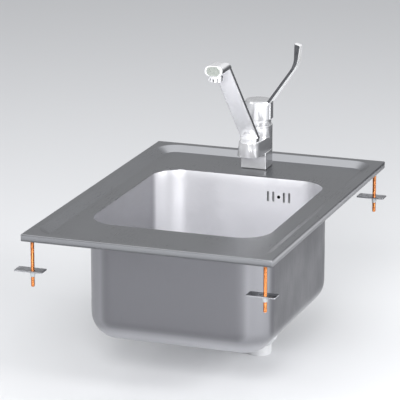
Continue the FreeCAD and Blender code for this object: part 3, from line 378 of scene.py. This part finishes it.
mouth_edge = at_height(mouth_ring, deck_z)
for share in deck_shares:
    deck_rows.append(slope_foot + (mouth_edge - slope_foot) * share)
for angle in quarter[1::2]:
    inset = mouth_lip * math.sin(angle)
    ring = rounded_ring(mouth_half_x + mouth_lip - inset, mouth_half_y + mouth_lip - inset,
                        mouth_corner + mouth_lip - inset, mouth_middle_y)
    deck_rows.append(at_height(ring, deck_z - mouth_lip * (1 - math.cos(angle))))
deck = skin("deck_sheet", deck_rows)
thicken(deck, sheet)
deck.data.materials.append(deck_steel)
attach(deck, "sink")
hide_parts("deck_pressing")

# The bowl is deep drawn from the same sheet, with rounded corners and floor and a flange welded under the
# deck. Its inside is a pale satin and its outside the duller skin of the drawing; the inside's near white
# tone is painted light, and the outside's grey tone is painted shade.
bowl_half_x = 174.3
bowl_half_y = 201.0
bowl_corner = 57.0
floor_fillet = 50.0
flange = 7.0
flange_bend = 1.2
bend_steps = 5
wall_steps = 12
fillet_steps = 17
floor_shares = (0.03, 0.3, 0.6, 0.85, 1.0)
bowl_top = bowl_high[2]
bowl_floor = bowl_low[2] + sheet
waste_low, waste_high = [np.array(corner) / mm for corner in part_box("waste_outlet")]
waste_place = (waste_low[:2] + waste_high[:2]) / 2
waste_hole = 44.5
slot_half_width = 2.0
slot_half_height = 10.0
slot_pitch = 10.6
overflow_z = -35.1
screw_hole = 3.15
hard_angle = math.radians(40)


def bowl_row(inset, height):
    """One row of the bowl's inside, inset from the inner wall, with the corner drawn in alike."""
    return at_height(rounded_ring(bowl_half_x - sheet - inset, bowl_half_y - sheet - inset,
                                  bowl_corner - sheet - inset, mouth_middle_y), height)


inner_fillet = floor_fillet - sheet
bowl_rows = [bowl_row(-flange - sheet, bowl_top), bowl_row(-flange_bend - plane_margin, bowl_top)]
for angle in np.linspace(0, math.pi / 2, bend_steps):
    bowl_rows.append(bowl_row(-flange_bend * (1 - math.sin(angle)),
                              bowl_top - flange_bend * (1 - math.cos(angle))))
for share in np.linspace(0, 1, wall_steps)[1:]:
    bowl_rows.append(bowl_row(0, bowl_top - flange_bend
                              - share * (bowl_top - flange_bend - bowl_floor - inner_fillet)))
for angle in np.linspace(0, math.pi / 2, fillet_steps)[1:]:
    bowl_rows.append(bowl_row(inner_fillet * (1 - math.cos(angle)),
                              bowl_floor + inner_fillet * (1 - math.sin(angle))))
# From the fillet's foot the floor's rows run in to the waste hole, each point along its own bearing.
floor_edge = bowl_rows[-1]
bearing = np.arctan2(floor_edge[:, 1] - waste_place[1], floor_edge[:, 0] - waste_place[0])
waste_ring = waste_place + waste_hole * np.column_stack([np.cos(bearing), np.sin(bearing)])
waste_edge = at_height(waste_ring, bowl_floor)
for share in floor_shares:
    bowl_rows.append(floor_edge + (waste_edge - floor_edge) * share)
bowl = skin("bowl_shell", bowl_rows)
thicken(bowl, sheet, 1)
# The inside's near white tone is painted light; the outside's grey tone is painted shade.
bowl_inside = metal("satin_stainless_inside_painted_light", "ececef", 0.5, streak=(14.0, 14.0, 0.8), streak_depth=0.05,
                    cloud=140.0, cloud_depth=0.04, bump=0.01)
bowl_outside = metal("drawn_stainless_outside_painted_shade", "98989c", 0.36, streak=(1.4, 1.4, 26.0), streak_depth=0.05,
                     cloud=80.0, cloud_depth=0.05, bump=0.01)


def tone_by_facing(material, tone, axes, share_low, share_high):
    """Painted light or shade: a second tone where the normal lies along one of the axes by more than a
    share.
    """
    tree = material.node_tree
    shade = tree.nodes["Principled BSDF"]
    colour = shade.inputs["Base Color"].links[0].from_socket
    geometry = add_node(tree, "ShaderNodeNewGeometry")
    size = add_node(tree, "ShaderNodeVectorMath", {"operation": "ABSOLUTE"}, in0=geometry.outputs["Normal"])
    parts = add_node(tree, "ShaderNodeSeparateXYZ", Vector=size.outputs[0])
    lean = parts.outputs[axes[0]]
    for axis in axes[1:]:
        lean = add_node(tree, "ShaderNodeMath", {"operation": "MAXIMUM"}, in0=lean,
                        in1=parts.outputs[axis]).outputs[0]
    weight = add_node(tree, "ShaderNodeMapRange", {"interpolation_type": "SMOOTHSTEP"}, Value=lean,
                      From_Min=share_low, From_Max=share_high)
    mixed = add_node(tree, "ShaderNodeMix", {"data_type": "RGBA"}, in0=weight.outputs[0], in6=colour,
                     in7=linear(tone))
    tree.links.new(mixed.outputs[2], shade.inputs["Base Color"])


# The bowl's walls and the rim get tones by the way they face, as painted shade and painted light. Inside,
# the side walls that face along X are painted darker than the back wall. Outside, the flat walls that face
# along Y and X are painted darker, which leaves the corner radii as painted highlights, and the faces that
# lean along Z, the floor and its fillet, are painted lighter. The rim's turned-down side edges that face
# along X are painted a little lighter than the deck.
tone_by_facing(bowl_inside, "a4a4a8", "X", share_low=0.9, share_high=0.995)
tone_by_facing(bowl_outside, "78787c", "Y", share_low=0.9, share_high=0.995)
tone_by_facing(bowl_outside, "6c6c70", "X", share_low=0.9, share_high=0.995)
tone_by_facing(bowl_outside, "bcbcc0", "Z", share_low=0.3, share_high=0.7)
tone_by_facing(deck_steel, "a6a6aa", "X", share_low=0.9, share_high=0.99)
bowl.data.materials.append(bowl_inside)
bowl.data.materials.append(bowl_outside)


def pierce(made, cutters):
    """Cut closed meshes out of an object, fix the result in its mesh and delete the cutters."""
    for cutter in cutters:
        cut = made.modifiers.new("hole", "BOOLEAN")
        cut.operation = "DIFFERENCE"
        cut.solver = "EXACT"
        cut.object = cutter
    bpy.context.view_layer.update()
    graph = bpy.context.evaluated_depsgraph_get()
    pierced = bpy.data.meshes.new_from_object(made.evaluated_get(graph))
    made.modifiers.clear()
    made.data = pierced
    for cutter in cutters:
        bpy.data.objects.remove(cutter)


def upright_prism(name, ring, middle_x, middle_z, y_low, y_high):
    """Closed prism along Y whose section is a flat ring in X and Z."""
    low = np.column_stack([middle_x + ring[:, 0], np.full(len(ring), y_low), middle_z + ring[:, 1]])
    high = low + np.array([0, y_high - y_low, 0])
    return skin(name, [high, low], close_foot=True, close_top=True, smooth=False)


# Four overflow slots, with the housing's screw hole in their middle, are punched through the back wall.
slot_ring = hull_ring([(0, slot_half_height - slot_half_width, slot_half_width),
                       (0, slot_half_width - slot_half_height, slot_half_width)], arc_steps=8, line_steps=1)
hole_ring = screw_hole * np.column_stack([np.cos(turn[::4]), np.sin(turn[::4])])
wall_y = bowl_half_y + mouth_middle_y
cut_front = wall_y - 3 * sheet
cut_back = wall_y + 2 * sheet
cutters = [upright_prism("slot_tool", slot_ring, waste_place[0] + step * slot_pitch, overflow_z, cut_front,
                         cut_back) for step in (-2, -1, 1, 2)]
cutters.append(upright_prism("screw_tool", hole_ring, waste_place[0], overflow_z, cut_front, cut_back))
pierce(bowl, cutters)
bowl.data.set_sharp_from_angle(angle=hard_angle)
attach(bowl, "sink")
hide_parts("bowl_pressing")

# The rim seal is a moulded strip of black rubber, stuck inside the turned-down edge: matt, almost without
# a highlight. The weld nuts are small steel bosses under the border that hold the clamp rods.


def moulded(name, tone, roughness, mottle=2.0, mottle_depth=0.05, bump=0.01, sheen_size=40.0):
    """Moulded polymer or rubber: a fine mottle on roughness and height and slow drifts in tone."""
    deep_share = 0.93
    material = bpy.data.materials.new(name)
    material.use_nodes = True
    tree = material.node_tree
    tree.nodes.clear()
    place = add_node(tree, "ShaderNodeTexCoord")
    fine = add_node(tree, "ShaderNodeTexNoise", Vector=place.outputs["Object"], Scale=1.0 / (mottle * mm),
                    Detail=2.0)
    slow = add_node(tree, "ShaderNodeTexNoise", Vector=place.outputs["Object"],
                    Scale=1.0 / (sheen_size * mm), Detail=2.0)
    rough = add_node(tree, "ShaderNodeMapRange", Value=fine.outputs[0], From_Min=0.3, From_Max=0.7,
                     To_Min=roughness - mottle_depth, To_Max=roughness + mottle_depth)
    deep = tuple(channel * deep_share for channel in linear(tone)[:3]) + (1.0,)
    colour = add_node(tree, "ShaderNodeMix", {"data_type": "RGBA"}, in0=slow.outputs[0], in6=deep,
                      in7=linear(tone))
    relief = add_node(tree, "ShaderNodeBump", Height=fine.outputs[0], Distance=bump * mm, Strength=0.4)
    shade = add_node(tree, "ShaderNodeBsdfPrincipled", Base_Color=colour.outputs[2],
                     Roughness=rough.outputs[0], Normal=relief.outputs[0])
    add_node(tree, "ShaderNodeOutputMaterial", Surface=shade.outputs[0])
    return material


rubber = moulded("black_rubber", "1c1c1d", 0.7, mottle=0.8)
dress(rubber, "rim_seal")
dress(deck_steel, "weld_nuts")

# Four threaded rods of steel with a copper-coloured plating hang from the weld nuts. The thread's crests
# catch a line of light along each rod.
rods_low, rods_high = [np.array(corner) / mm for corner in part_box("clamp_rods")]
rod_radius = 3.5
thread_pitch = 1.25
thread_depth = 0.6
rows_per_turn = 6
rod_columns = 24
rod_chamfer = 0.8


def threaded(name, place, foot, top, radius, pitch, depth, columns, chamfer):
    """Threaded bar with chamfered ends.

    At each height and bearing the radius falls by depth * |2 phase - 1|, where the phase is what is left of
    height / pitch - bearing / full turn after whole turns.
    """
    heights = np.linspace(foot, top, int((top - foot) / pitch * rows_per_turn) + 1)[:, None]
    bearings = np.linspace(0, 2 * math.pi, columns, endpoint=False)[None, :]
    phase = (heights / pitch - bearings / (2 * math.pi)) % 1.0
    cut = depth * np.abs(2 * phase - 1)
    ends = np.minimum(heights - foot, top - heights)
    reach = np.minimum(radius - cut, radius - chamfer + ends)
    grid = np.stack([place[0] + reach * np.cos(bearings), place[1] + reach * np.sin(bearings),
                     heights + 0 * bearings], -1)
    return skin(name, grid, close_foot=True, close_top=True)


copper_plate = metal("copper_plated_steel", "e0935a", 0.28, streak=(1.0, 1.0, 6.0), cloud=14.0,
                     cloud_depth=0.08, tone_depth=0.25)
rod_reach = rods_high[:2] - rod_radius
rod_places = {}
for end, sign_y in (("front", -1), ("back", 1)):
    for side, sign_x in (("left", -1), ("right", 1)):
        rod_places[end + "_" + side] = rod_reach * (sign_x, sign_y)
bars = []
for corner, place in rod_places.items():
    bar = threaded("clamp_rod_" + corner, place, rods_low[2], rods_high[2], rod_radius, thread_pitch,
                   thread_depth, rod_columns, rod_chamfer)
    bar.data.materials.append(copper_plate)
    bars.append(bar)
    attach(bar, "sink")
for bar in bars:
    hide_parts("clamp_rods")

# The clamp plates are stamped from zinc-plated strip, with rounded edges and a clearance hole for the rod.
# They rest on the clamp nuts. The zinc looks mid grey, with small duller and brighter patches.
plate_hole = 4.0
plate_corner = 1.5
plate_edge = 0.5
plate_margin = 0.3
zinc_plate = metal("zinc_plated_steel", "b4b5b9", 0.33, streak=(2.0, 2.0, 2.0), cloud=9.0, cloud_depth=0.1,
                   tone_depth=0.3)


def pierced_plate(name, low, high, place, hole, corner, edge):
    """Rounded plate with a round hole: rows run up the hole, out over the top, down and back below.

    Each point of the hole lies at the bearing of its partner on the outline, seen from the hole.
    """
    middle = (low[:2] + high[:2]) / 2
    half = (high[:2] - low[:2]) / 2

    def outline(inset):
        corner_left = corner - min(inset, corner - least_corner)
        return middle + rounded_ring(half[0] - inset, half[1] - inset, corner_left, arc_steps=6,
                                     line_steps=14)

    rim = outline(0.0)
    angle = np.arctan2(rim[:, 1] - place[1], rim[:, 0] - place[0])
    round_way = np.column_stack([np.cos(angle), np.sin(angle)])

    def hole_row(grow, height):
        return at_height(place + (hole + grow) * round_way, height)

    bends = np.linspace(0, math.pi / 2, 4)
    rows = [hole_row(edge, low[2])]
    rows += [hole_row(edge * (1 - math.sin(b)), low[2] + edge * (1 - math.cos(b))) for b in bends[1:]]
    rows += [hole_row(edge * (1 - math.cos(b)), high[2] - edge * (1 - math.sin(b))) for b in bends]
    rows += [hole_row(edge + plate_margin, high[2]), at_height(outline(edge + plate_margin), high[2])]
    rows += [at_height(outline(edge * (1 - math.sin(b))), high[2] - edge * (1 - math.cos(b))) for b in bends]
    rows += [at_height(outline(edge * (1 - math.cos(b))), low[2] + edge * (1 - math.sin(b))) for b in bends]
    rows += [at_height(outline(edge + plate_margin), low[2]), hole_row(edge + plate_margin, low[2])]
    return skin(name, rows[::-1], wrap_rows=True)


for corner, place in rod_places.items():
    plate_low, plate_high = [np.array(end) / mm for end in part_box("clamp_plate_" + corner)]
    plate = pierced_plate("plate_" + corner, plate_low, plate_high, place, plate_hole, plate_corner,
                          plate_edge)
    plate.data.materials.append(zinc_plate)
    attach(plate, "clamp_plate_" + corner)
    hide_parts("clamp_plate_" + corner)

# The clamp nuts are small tapered mouldings of white nylon with eight finger flats, threaded on the rods
# under the plates. Nylon gives them a soft, slightly grey sheen.
nut_top_radius = 5.4
nut_foot_radius = 4.2
nut_bore = 3.55
nut_flats = 8
nut_flat_depth = 0.35
nut_edge = 0.3
nut_flat_rows = range(7, 13)
nut_columns = 48
white_nylon = moulded("white_nylon", "a3a7aa", 0.4, mottle=1.5)


def turned(name, place, profile, columns=64, waves=0, wave_depth=0.0, wavy=()):
    """Surface of revolution of (radius, height) points about an upright axis.

    The radius of a row named in wavy falls by wave_depth * (1 - cos(waves * bearing)) / 2, as flutes.
    """
    bearings = np.linspace(0, 2 * math.pi, columns, endpoint=False)
    rows = []
    for index, (radius, height) in enumerate(profile):
        depth = wave_depth if index in wavy else 0.0
        reach = radius - depth * (0.5 - 0.5 * np.cos(waves * bearings))
        rows.append(np.column_stack([place[0] + reach * np.cos(bearings),
                                     place[1] + reach * np.sin(bearings), np.full(columns, height)]))
    return skin(name, rows, wrap_rows=True)


def rounded_profile(corners, radius, steps=4):
    """Closed (radius, height) outline with each corner rounded by a parabola that touches both sides.

    It leaves and meets the sides at radius times the tangent of half the turn from the corner, and is
    (1 - t)^2 start + 2 t (1 - t) corner + t^2 end.
    """
    most_of_side = 0.45
    points = []
    corners = np.array(corners, float)
    count = len(corners)
    for index, corner in enumerate(corners):
        back = corners[index - 1] - corner
        ahead = corners[(index + 1) % count] - corner
        back_length, ahead_length = np.hypot(*back), np.hypot(*ahead)
        back, ahead = back / back_length, ahead / ahead_length
        turn_half = (math.pi - math.acos(np.clip(back @ ahead, -1, 1))) / 2
        reach = min(radius * math.tan(turn_half), most_of_side * back_length, most_of_side * ahead_length)
        for share in np.linspace(0, 1, steps + 1):
            start = corner + back * reach
            end = corner + ahead * reach
            points.append((1 - share) ** 2 * start + 2 * share * (1 - share) * corner + share ** 2 * end)
    return np.array(points)


for corner, place in rod_places.items():
    nut_low, nut_high = [np.array(end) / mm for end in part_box("clamp_nut_" + corner)]
    nut_profile = rounded_profile([(nut_bore, nut_low[2]), (nut_foot_radius, nut_low[2]),
                                   (nut_top_radius, nut_high[2]), (nut_bore, nut_high[2])], nut_edge)
    nut = turned("nut_" + corner, place, nut_profile, nut_columns, waves=nut_flats,
                 wave_depth=nut_flat_depth, wavy=nut_flat_rows)
    nut.data.materials.append(white_nylon)
    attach(nut, "clamp_nut_" + corner)
    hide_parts("clamp_nut_" + corner)

# The waste: a pressed strainer cup and its basket in bright stainless, a white polypropylene cone under
# the bowl with two rubber gaskets, held by one centre screw. The overflow's housing is moulded in matt
# grey ABS behind the wall, where only its blackened screw shows; its grey also stands for painted shade in
# the overflow slots. The basket's knob and the spout are chromed and polished: nearly white where they
# face the light, and their flanks that face along X are painted darker, as painted shade.
fitting_steel = metal("pressed_stainless_fitting", "c9cacd", 0.2, streak=(1.5, 1.5, 1.5), cloud=20.0)
white_pp = moulded("white_polypropylene", "cfd0d2", 0.35, mottle=1.2)
polished_chrome = metal("polished_chrome", "f6f6f8", 0.2, streak=(2.0, 2.0, 2.0), streak_depth=0.015,
                        cloud=40.0, cloud_depth=0.02, tone_depth=0.02, metallic=0.6)
# Painted shade: the flanks that face along X get a darker tone.
tone_by_facing(polished_chrome, "6c6d70", "X", share_low=0.8, share_high=1.0)
blackened_steel = metal("blackened_steel", "1d1d1f", 0.45, streak=(0.5, 0.5, 0.5), cloud=3.0)
dress(fitting_steel, "strainer_cup", "basket_strainer", "waste_screw", "steel_washer", "pivot_pin",
      "handle_grub_screw", "spout_retaining_screw")
dress(blackened_steel, "overflow_screw")
dress(polished_chrome, "basket_knob")
dress(rubber, "waste_gasket", "lower_washer", "basket_seal", "overflow_gasket", "tap_base_gasket",
      "rubber_washer", "spout_o_rings")
# Painted shade: the housing's mid grey makes the overflow slots read darker.
grey_abs_slot_shade = moulded("grey_abs_slot_shade", "b4b6b9", 0.5)
dress(grey_abs_slot_shade, "overflow_housing")
dress(white_pp, "waste_body", "cartridge", "cartridge_carrier", "swivel_washer", "aerator_insert")

# The union ring is moulded in the cone's white plastic, with ribs for the hand. It tapers down to the
# outlet pipe and draws it up to the cone.
ring_radius = 34.0
ring_low, ring_high = [np.array(corner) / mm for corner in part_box("outlet_ring_nut")]
ring_bore = 24.25
ring_shoulder = ring_high[2] - 7.5
ring_end_wall = 1.0
ring_edge = 0.5
ring_ribs = 32
ring_rib_depth = 0.7
ring_rib_rows = range(10, 20)
ring_columns = 6 * ring_ribs
ring_profile = rounded_profile([(ring_bore, ring_low[2]), (ring_bore + ring_end_wall, ring_low[2]),
                                (ring_radius, ring_shoulder), (ring_radius, ring_high[2]),
                                (ring_bore, ring_high[2])], ring_edge)
union_ring = turned("union_ring", waste_place, ring_profile, ring_columns, waves=ring_ribs,
                    wave_depth=ring_rib_depth, wavy=ring_rib_rows)
union_ring.data.materials.append(white_pp)
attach(union_ring, "sink")
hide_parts("outlet_ring_nut")

# The outlet pipe is moulded in the same white plastic, with a pipe thread for the trap's union. Its radius
# falls with the thread's phase as on the rods, and its end has a short chamfer that leads onto the thread.
outlet_radius = 24.2
outlet_bore = 21.4
pipe_pitch = 2.309
pipe_thread_depth = 1.2
pipe_lead = 1.2
pipe_columns = 96
thread_rows = int((ring_low[2] - waste_low[2]) / pipe_pitch * rows_per_turn) + 1
outlet_bearings = np.linspace(0, 2 * math.pi, pipe_columns, endpoint=False)[None, :]
outlet_heights = np.linspace(waste_low[2], ring_low[2], thread_rows)[:, None]
outlet_phase = (outlet_heights / pipe_pitch - outlet_bearings / (2 * math.pi)) % 1.0
outlet_cut = pipe_thread_depth * np.abs(2 * outlet_phase - 1)
outlet_ends = outlet_radius - pipe_lead + (outlet_heights - waste_low[2])
outlet_thread = np.minimum(outlet_radius - outlet_cut, outlet_ends)
whole_turn = np.ones((1, pipe_columns))
outlet_reach = np.vstack([outlet_bore * whole_turn, outlet_thread,
                          (outlet_radius - pipe_thread_depth) * whole_turn, outlet_bore * whole_turn])
outlet_levels = np.vstack([waste_low[2] * whole_turn, outlet_heights * whole_turn,
                           waste_high[2] * whole_turn, waste_high[2] * whole_turn])
outlet_grid = np.stack([waste_place[0] + outlet_reach * np.cos(outlet_bearings),
                        waste_place[1] + outlet_reach * np.sin(outlet_bearings), outlet_levels], -1)
outlet = skin("outlet_pipe", outlet_grid, wrap_rows=True)
outlet.data.materials.append(white_pp)
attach(outlet, "sink")
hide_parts("waste_outlet")

# The tap's cast brass body is polished and chromed: a base block that is square in front and round behind,
# a lower body whose nose carries the spout, and the column for the cartridge. The shank, washers and nut
# hold it under the deck.
body_low, body_high = [np.array(corner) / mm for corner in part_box("tap_body")]
tap_x_half = 25.0
tap_back_y = 279.0
tap_y = 272.0
block_front_y = 242.0
block_top = 35.4
block_edge = 1.5
block_corner = 0.8
least_block_corner = 0.3
nose_y = 219.0
nose_foot = 23.0
nose_top = 20.3
nose_edge = 0.8
foot_edge = 0.4
column_edge = 0.5
column_sunk = 4.0
lower_top = 62.4
cast_steps = 20


def closed_tower(name, ring_at, levels, inward=1.0):
    """Closed upright body: rows of ring_at(inset, share) at (inset, share, height) levels, ends closed.

    The end rows are repeated a little further in, so that the flat ends shade flat.
    """
    rows = [at_height(ring_at(inset, share), height) for inset, share, height in levels]
    first_inset, first_share, first_height = levels[0]
    last_inset, last_share, last_height = levels[-1]
    rows.insert(0, at_height(ring_at(first_inset + inward, first_share), first_height))
    rows.append(at_height(ring_at(last_inset + inward, last_share), last_height))
    return skin(name, rows, close_foot=True, close_top=True)


def block_ring(inset, share):
    """Base block in plan: two small front corners and the round back."""
    small = max(block_corner - inset, least_block_corner)
    reach_x = tap_x_half - inset - small
    front = block_front_y + inset + small
    return hull_ring([(0, tap_back_y, tap_x_half - inset), (-reach_x, front, small),
                      (reach_x, front, small)], cast_steps, line_steps=6)


def lower_ring(inset, share):
    """Lower body in plan: the nose circle, which narrows upward by share, and the back circle."""
    radius = nose_foot + (nose_top - nose_foot) * share
    return hull_ring([(0, tap_back_y, tap_x_half - inset), (0, nose_y, radius - inset)], cast_steps,
                     line_steps=10)


def column_ring(inset, share):
    """Column in plan: two circles a little apart."""
    return hull_ring([(0, tap_back_y, tap_x_half - inset), (0, tap_y, tap_x_half - inset)], cast_steps,
                     line_steps=2)


def edged(foot, top, edge_foot, edge_top, steps=4):
    """Levels (inset, share, height) of a body whose foot and top edges are quarter circles.

    The share is 0 at the foot's levels and 1 at the top's.
    """
    levels = []
    for angle in np.linspace(0, math.pi / 2, steps + 1):
        levels.append((edge_foot * (1 - math.sin(angle)), 0.0, foot + edge_foot * (1 - math.cos(angle))))
    for angle in np.linspace(0, math.pi / 2, steps + 1):
        levels.append((edge_top * (1 - math.cos(angle)), 1.0, top - edge_top * (1 - math.sin(angle))))
    return levels


seat_z = body_low[2]
column_top = body_high[2]
tap_parts = [
    closed_tower("tap_block", block_ring, edged(seat_z, block_top, foot_edge, block_edge)),
    closed_tower("tap_lower_body", lower_ring, edged(block_top, lower_top, foot_edge, nose_edge)),
    closed_tower("tap_column", column_ring, edged(lower_top - column_sunk, column_top, foot_edge,
                                                  column_edge)),
]
# Under the lower body an arched rib runs down the block's front, sunk a little into both.
arch_radius = 10.0
arch_steps = 8
rib_sunk = 3.0
rib_lap = 0.3
rib_side = 1.2
arch = np.linspace(0, math.pi / 2, arch_steps + 1)
arch_y = block_front_y - arch_radius * (1 - np.cos(arch))
arch_z = block_top - arch_radius * (1 - np.sin(arch))
under_y = np.concatenate([arch_y, [block_front_y + rib_sunk, block_front_y + rib_sunk]])
under_z = np.concatenate([arch_z, [block_top + rib_lap, block_top - arch_radius]])
rib_half = tap_x_half - rib_side
rib_rows = [np.column_stack([np.full(len(under_y), x), under_y, under_z]) for x in (rib_half, -rib_half)]
tap_parts.append(skin("tap_fillet", rib_rows, close_foot=True, close_top=True, smooth=False))


def joined(name, parts):
    """One object from several closed bodies of one casting."""
    bpy.ops.object.select_all(action="DESELECT")
    for part in parts:
        part.select_set(True)
    bpy.context.view_layer.objects.active = parts[0]
    bpy.ops.object.join()
    parts[0].name = name
    parts[0].select_set(False)
    return parts[0]


tap_casting = joined("tap_casting", tap_parts)
# The casting's chrome is softly polished: it mirrors in broad soft bands, and its flanks that face along X
# are painted darker, as painted shade.
cast_chrome = metal("chrome_plated_casting", "dcdcde", 0.17, streak=(2.0, 2.0, 2.0), streak_depth=0.01,
                    cloud=40.0, cloud_depth=0.01, tone_depth=0.02, metallic=0.6)
tone_by_facing(cast_chrome, "97989b", "X", share_low=0.7, share_high=1.0)
tap_casting.data.materials.append(cast_chrome)
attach(tap_casting, "sink")
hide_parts("tap_body")

# The tap's shank, fixing nut, spout post and spindle are turned from brass and left bare, warm yellow with
# fine turning marks. The domed ring under the cap is chromed like the casting.
machined_brass = metal("machined_brass", "c9a860", 0.25, streak=(8.0, 8.0, 0.3), cloud=12.0, tone_depth=0.15)
dress(machined_brass, "tap_shank", "fixing_nut", "spout_post", "spindle")
dress(cast_chrome, "cartridge_nut")

# The handle cap is a polished chromed casting, bored from below. It turns and tilts on the domed ring and
# carries the lever.
cap_low, cap_high = [np.array(corner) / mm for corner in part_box("handle_cap")]
cap_radius = 26.0
cap_top_radius = 24.2
cap_chamfer = 3.6
cap_bore = 23.0
cap_roof = 6.0
cap_edge = 0.5
cap_pole = 0.02
cap_columns = 96
cap_place = (0.0, tap_y)
cap_corners = [(cap_bore, cap_low[2]), (cap_radius, cap_low[2]), (cap_radius, cap_high[2] - cap_chamfer),
               (cap_top_radius, cap_high[2]), (cap_pole, cap_high[2]),
               (cap_pole, cap_high[2] - cap_roof), (cap_bore, cap_high[2] - cap_roof)]
cap = turned("cap_shell", cap_place, rounded_profile(cap_corners, cap_edge), cap_columns)
cap.data.materials.append(cast_chrome)
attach(cap, "handle")
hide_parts("handle_cap")

# The lever is a flat bar that runs into the cap's side, over a narrow pad that hugs the cap. It bends
# upright and grows thicker and narrower toward its tip, which is cut at a slant.
lever_pad_x = 26.9
lever_pad_half = 8.75
lever_root_x = 12.2
lever_start = (25.0, 132.4)
lever_run = 78.3
blade_angle = math.radians(55.5)
tip_angle = math.radians(88.1)
bend_radius = 46.4
tip_run = 24.7
root_thickness = 5.75
tip_thickness = 11.45
end_slope = math.radians(16.6)
lever_widths = (44.0, 27.9, 10.3)
lever_edge = 1.0
forged_angle = math.radians(50)
side_share = 0.7
bevel_steps = 4
lever_bend_steps = 17
bend_share = np.linspace(0, 1, lever_bend_steps)
bend_angles = blade_angle + (tip_angle - blade_angle) * bend_share
bend_foot = np.array(lever_start) + lever_run * np.array([math.cos(blade_angle), math.sin(blade_angle)])
bend_x = bend_foot[0] + bend_radius * (np.sin(bend_angles) - math.sin(blade_angle))
bend_z = bend_foot[1] + bend_radius * (math.cos(blade_angle) - np.cos(bend_angles))
bend_length = bend_radius * (tip_angle - blade_angle)
grown = (tip_thickness - root_thickness) * bend_length * bend_share / (bend_length + tip_run)
line_x = np.concatenate([[lever_start[0]], bend_x, [bend_x[-1] + tip_run * math.cos(tip_angle)]])
line_z = np.concatenate([[lever_start[1]], bend_z, [bend_z[-1] + tip_run * math.sin(tip_angle)]])
line_angle = np.concatenate([[blade_angle], bend_angles, [tip_angle]])
line_thick = np.concatenate([[root_thickness], root_thickness + grown, [tip_thickness]])
off_x = line_thick / 2 * np.sin(line_angle)
off_z = line_thick / 2 * np.cos(line_angle)
right_side = np.column_stack([line_x + off_x, line_z - off_z])
left_side = np.column_stack([line_x - off_x, line_z + off_z])
end_drop = tip_thickness / 2 * math.tan(end_slope) * np.array([math.cos(tip_angle), math.sin(tip_angle)])
right_side[-1] -= end_drop
left_side[-1] += end_drop
slope = math.tan(blade_angle)
pad_top = right_side[0, 1] - (right_side[0, 0] - lever_pad_x) * slope
root_drop = lever_root_x * slope
right_root_z = right_side[0, 1] - right_side[0, 0] * slope + root_drop
left_root_z = left_side[0, 1] - left_side[0, 0] * slope + root_drop
right_side = np.vstack([[lever_root_x, right_root_z], right_side])
left_side = np.vstack([[lever_root_x, left_root_z], left_side])
tip_z = line_z[-1] + tip_thickness
width_levels = [cap_low[2], bend_foot[1], tip_z]
lever_rows = []
for right_point, left_point in zip(right_side, left_side):
    right_half = np.interp(right_point[1], width_levels, lever_widths) / 2
    left_half = np.interp(left_point[1], width_levels, lever_widths) / 2
    lever_rows.append([(right_point[0], tap_y - right_half, right_point[1]),
                       (right_point[0], tap_y + right_half, right_point[1]),
                       (left_point[0], tap_y + left_half, left_point[1]),
                       (left_point[0], tap_y - left_half, left_point[1])])
blade = skin("lever_blade", lever_rows, close_foot=True, close_top=True)
# The blade's narrow sides are painted dark grey as painted shade, and its broad faces near white as painted
# light.
edge_shade_chrome = metal("chrome_edge_painted_shade", "58595c", 0.34, streak=(0.5, 0.5, 9.0), cloud=12.0)
lit_face_chrome = metal("lit_face_chrome", "fafafb", 0.22, streak=(2.0, 2.0, 2.0), streak_depth=0.02, cloud=30.0,
                      cloud_depth=0.02, tone_depth=0.02, metallic=0.45)
blade.data.materials.append(lit_face_chrome)
blade.data.materials.append(edge_shade_chrome)
# Painted shade mask: the narrow sides that face along Y, above the cap, take the dark tone.
facing = np.empty(len(blade.data.polygons) * 3)
centres = np.empty(len(blade.data.polygons) * 3)
blade.data.polygons.foreach_get("normal", facing)
blade.data.polygons.foreach_get("center", centres)
shaded_side_faces = (np.abs(facing[1::3]) > side_share) & (centres[2::3] > cap_high[2] * mm)
blade.data.polygons.foreach_set("material_index", shaded_side_faces.astype(int))
pad_root_z = lever_start[1] - lever_start[0] * slope + root_drop
pad_ring = np.array([(lever_root_x, cap_low[2]), (lever_pad_x, cap_low[2]), (lever_pad_x, pad_top),
                     lever_start, (lever_root_x, pad_root_z)])
pad = upright_prism("lever_pad", pad_ring, 0.0, 0.0, tap_y - lever_pad_half, tap_y + lever_pad_half)
pad.data.materials.append(cast_chrome)
lever = joined("lever_bar", [blade, pad])
soften = lever.modifiers.new("forged_edges", "BEVEL")
soften.width = lever_edge * mm
soften.segments = bevel_steps
soften.limit_method = "ANGLE"
soften.angle_limit = forged_angle
soften.harden_normals = True
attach(lever, "handle")
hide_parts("lever")

# The spout swivels on the nose: a chromed bar with an oblong head, a domed screw cover low on its face, an
# oval plug in the head and a castellated aerator ring. The plug's satin chrome is matt, a little green.
satin_disc = metal("satin_chrome", "bfc4bd", 0.32, streak=(1.0, 1.0, 1.0), cloud=6.0, tone_depth=0.12)
dress(polished_chrome, "spout", "spout_boss", "aerator_housing")
dress(satin_disc, "nose_plug")
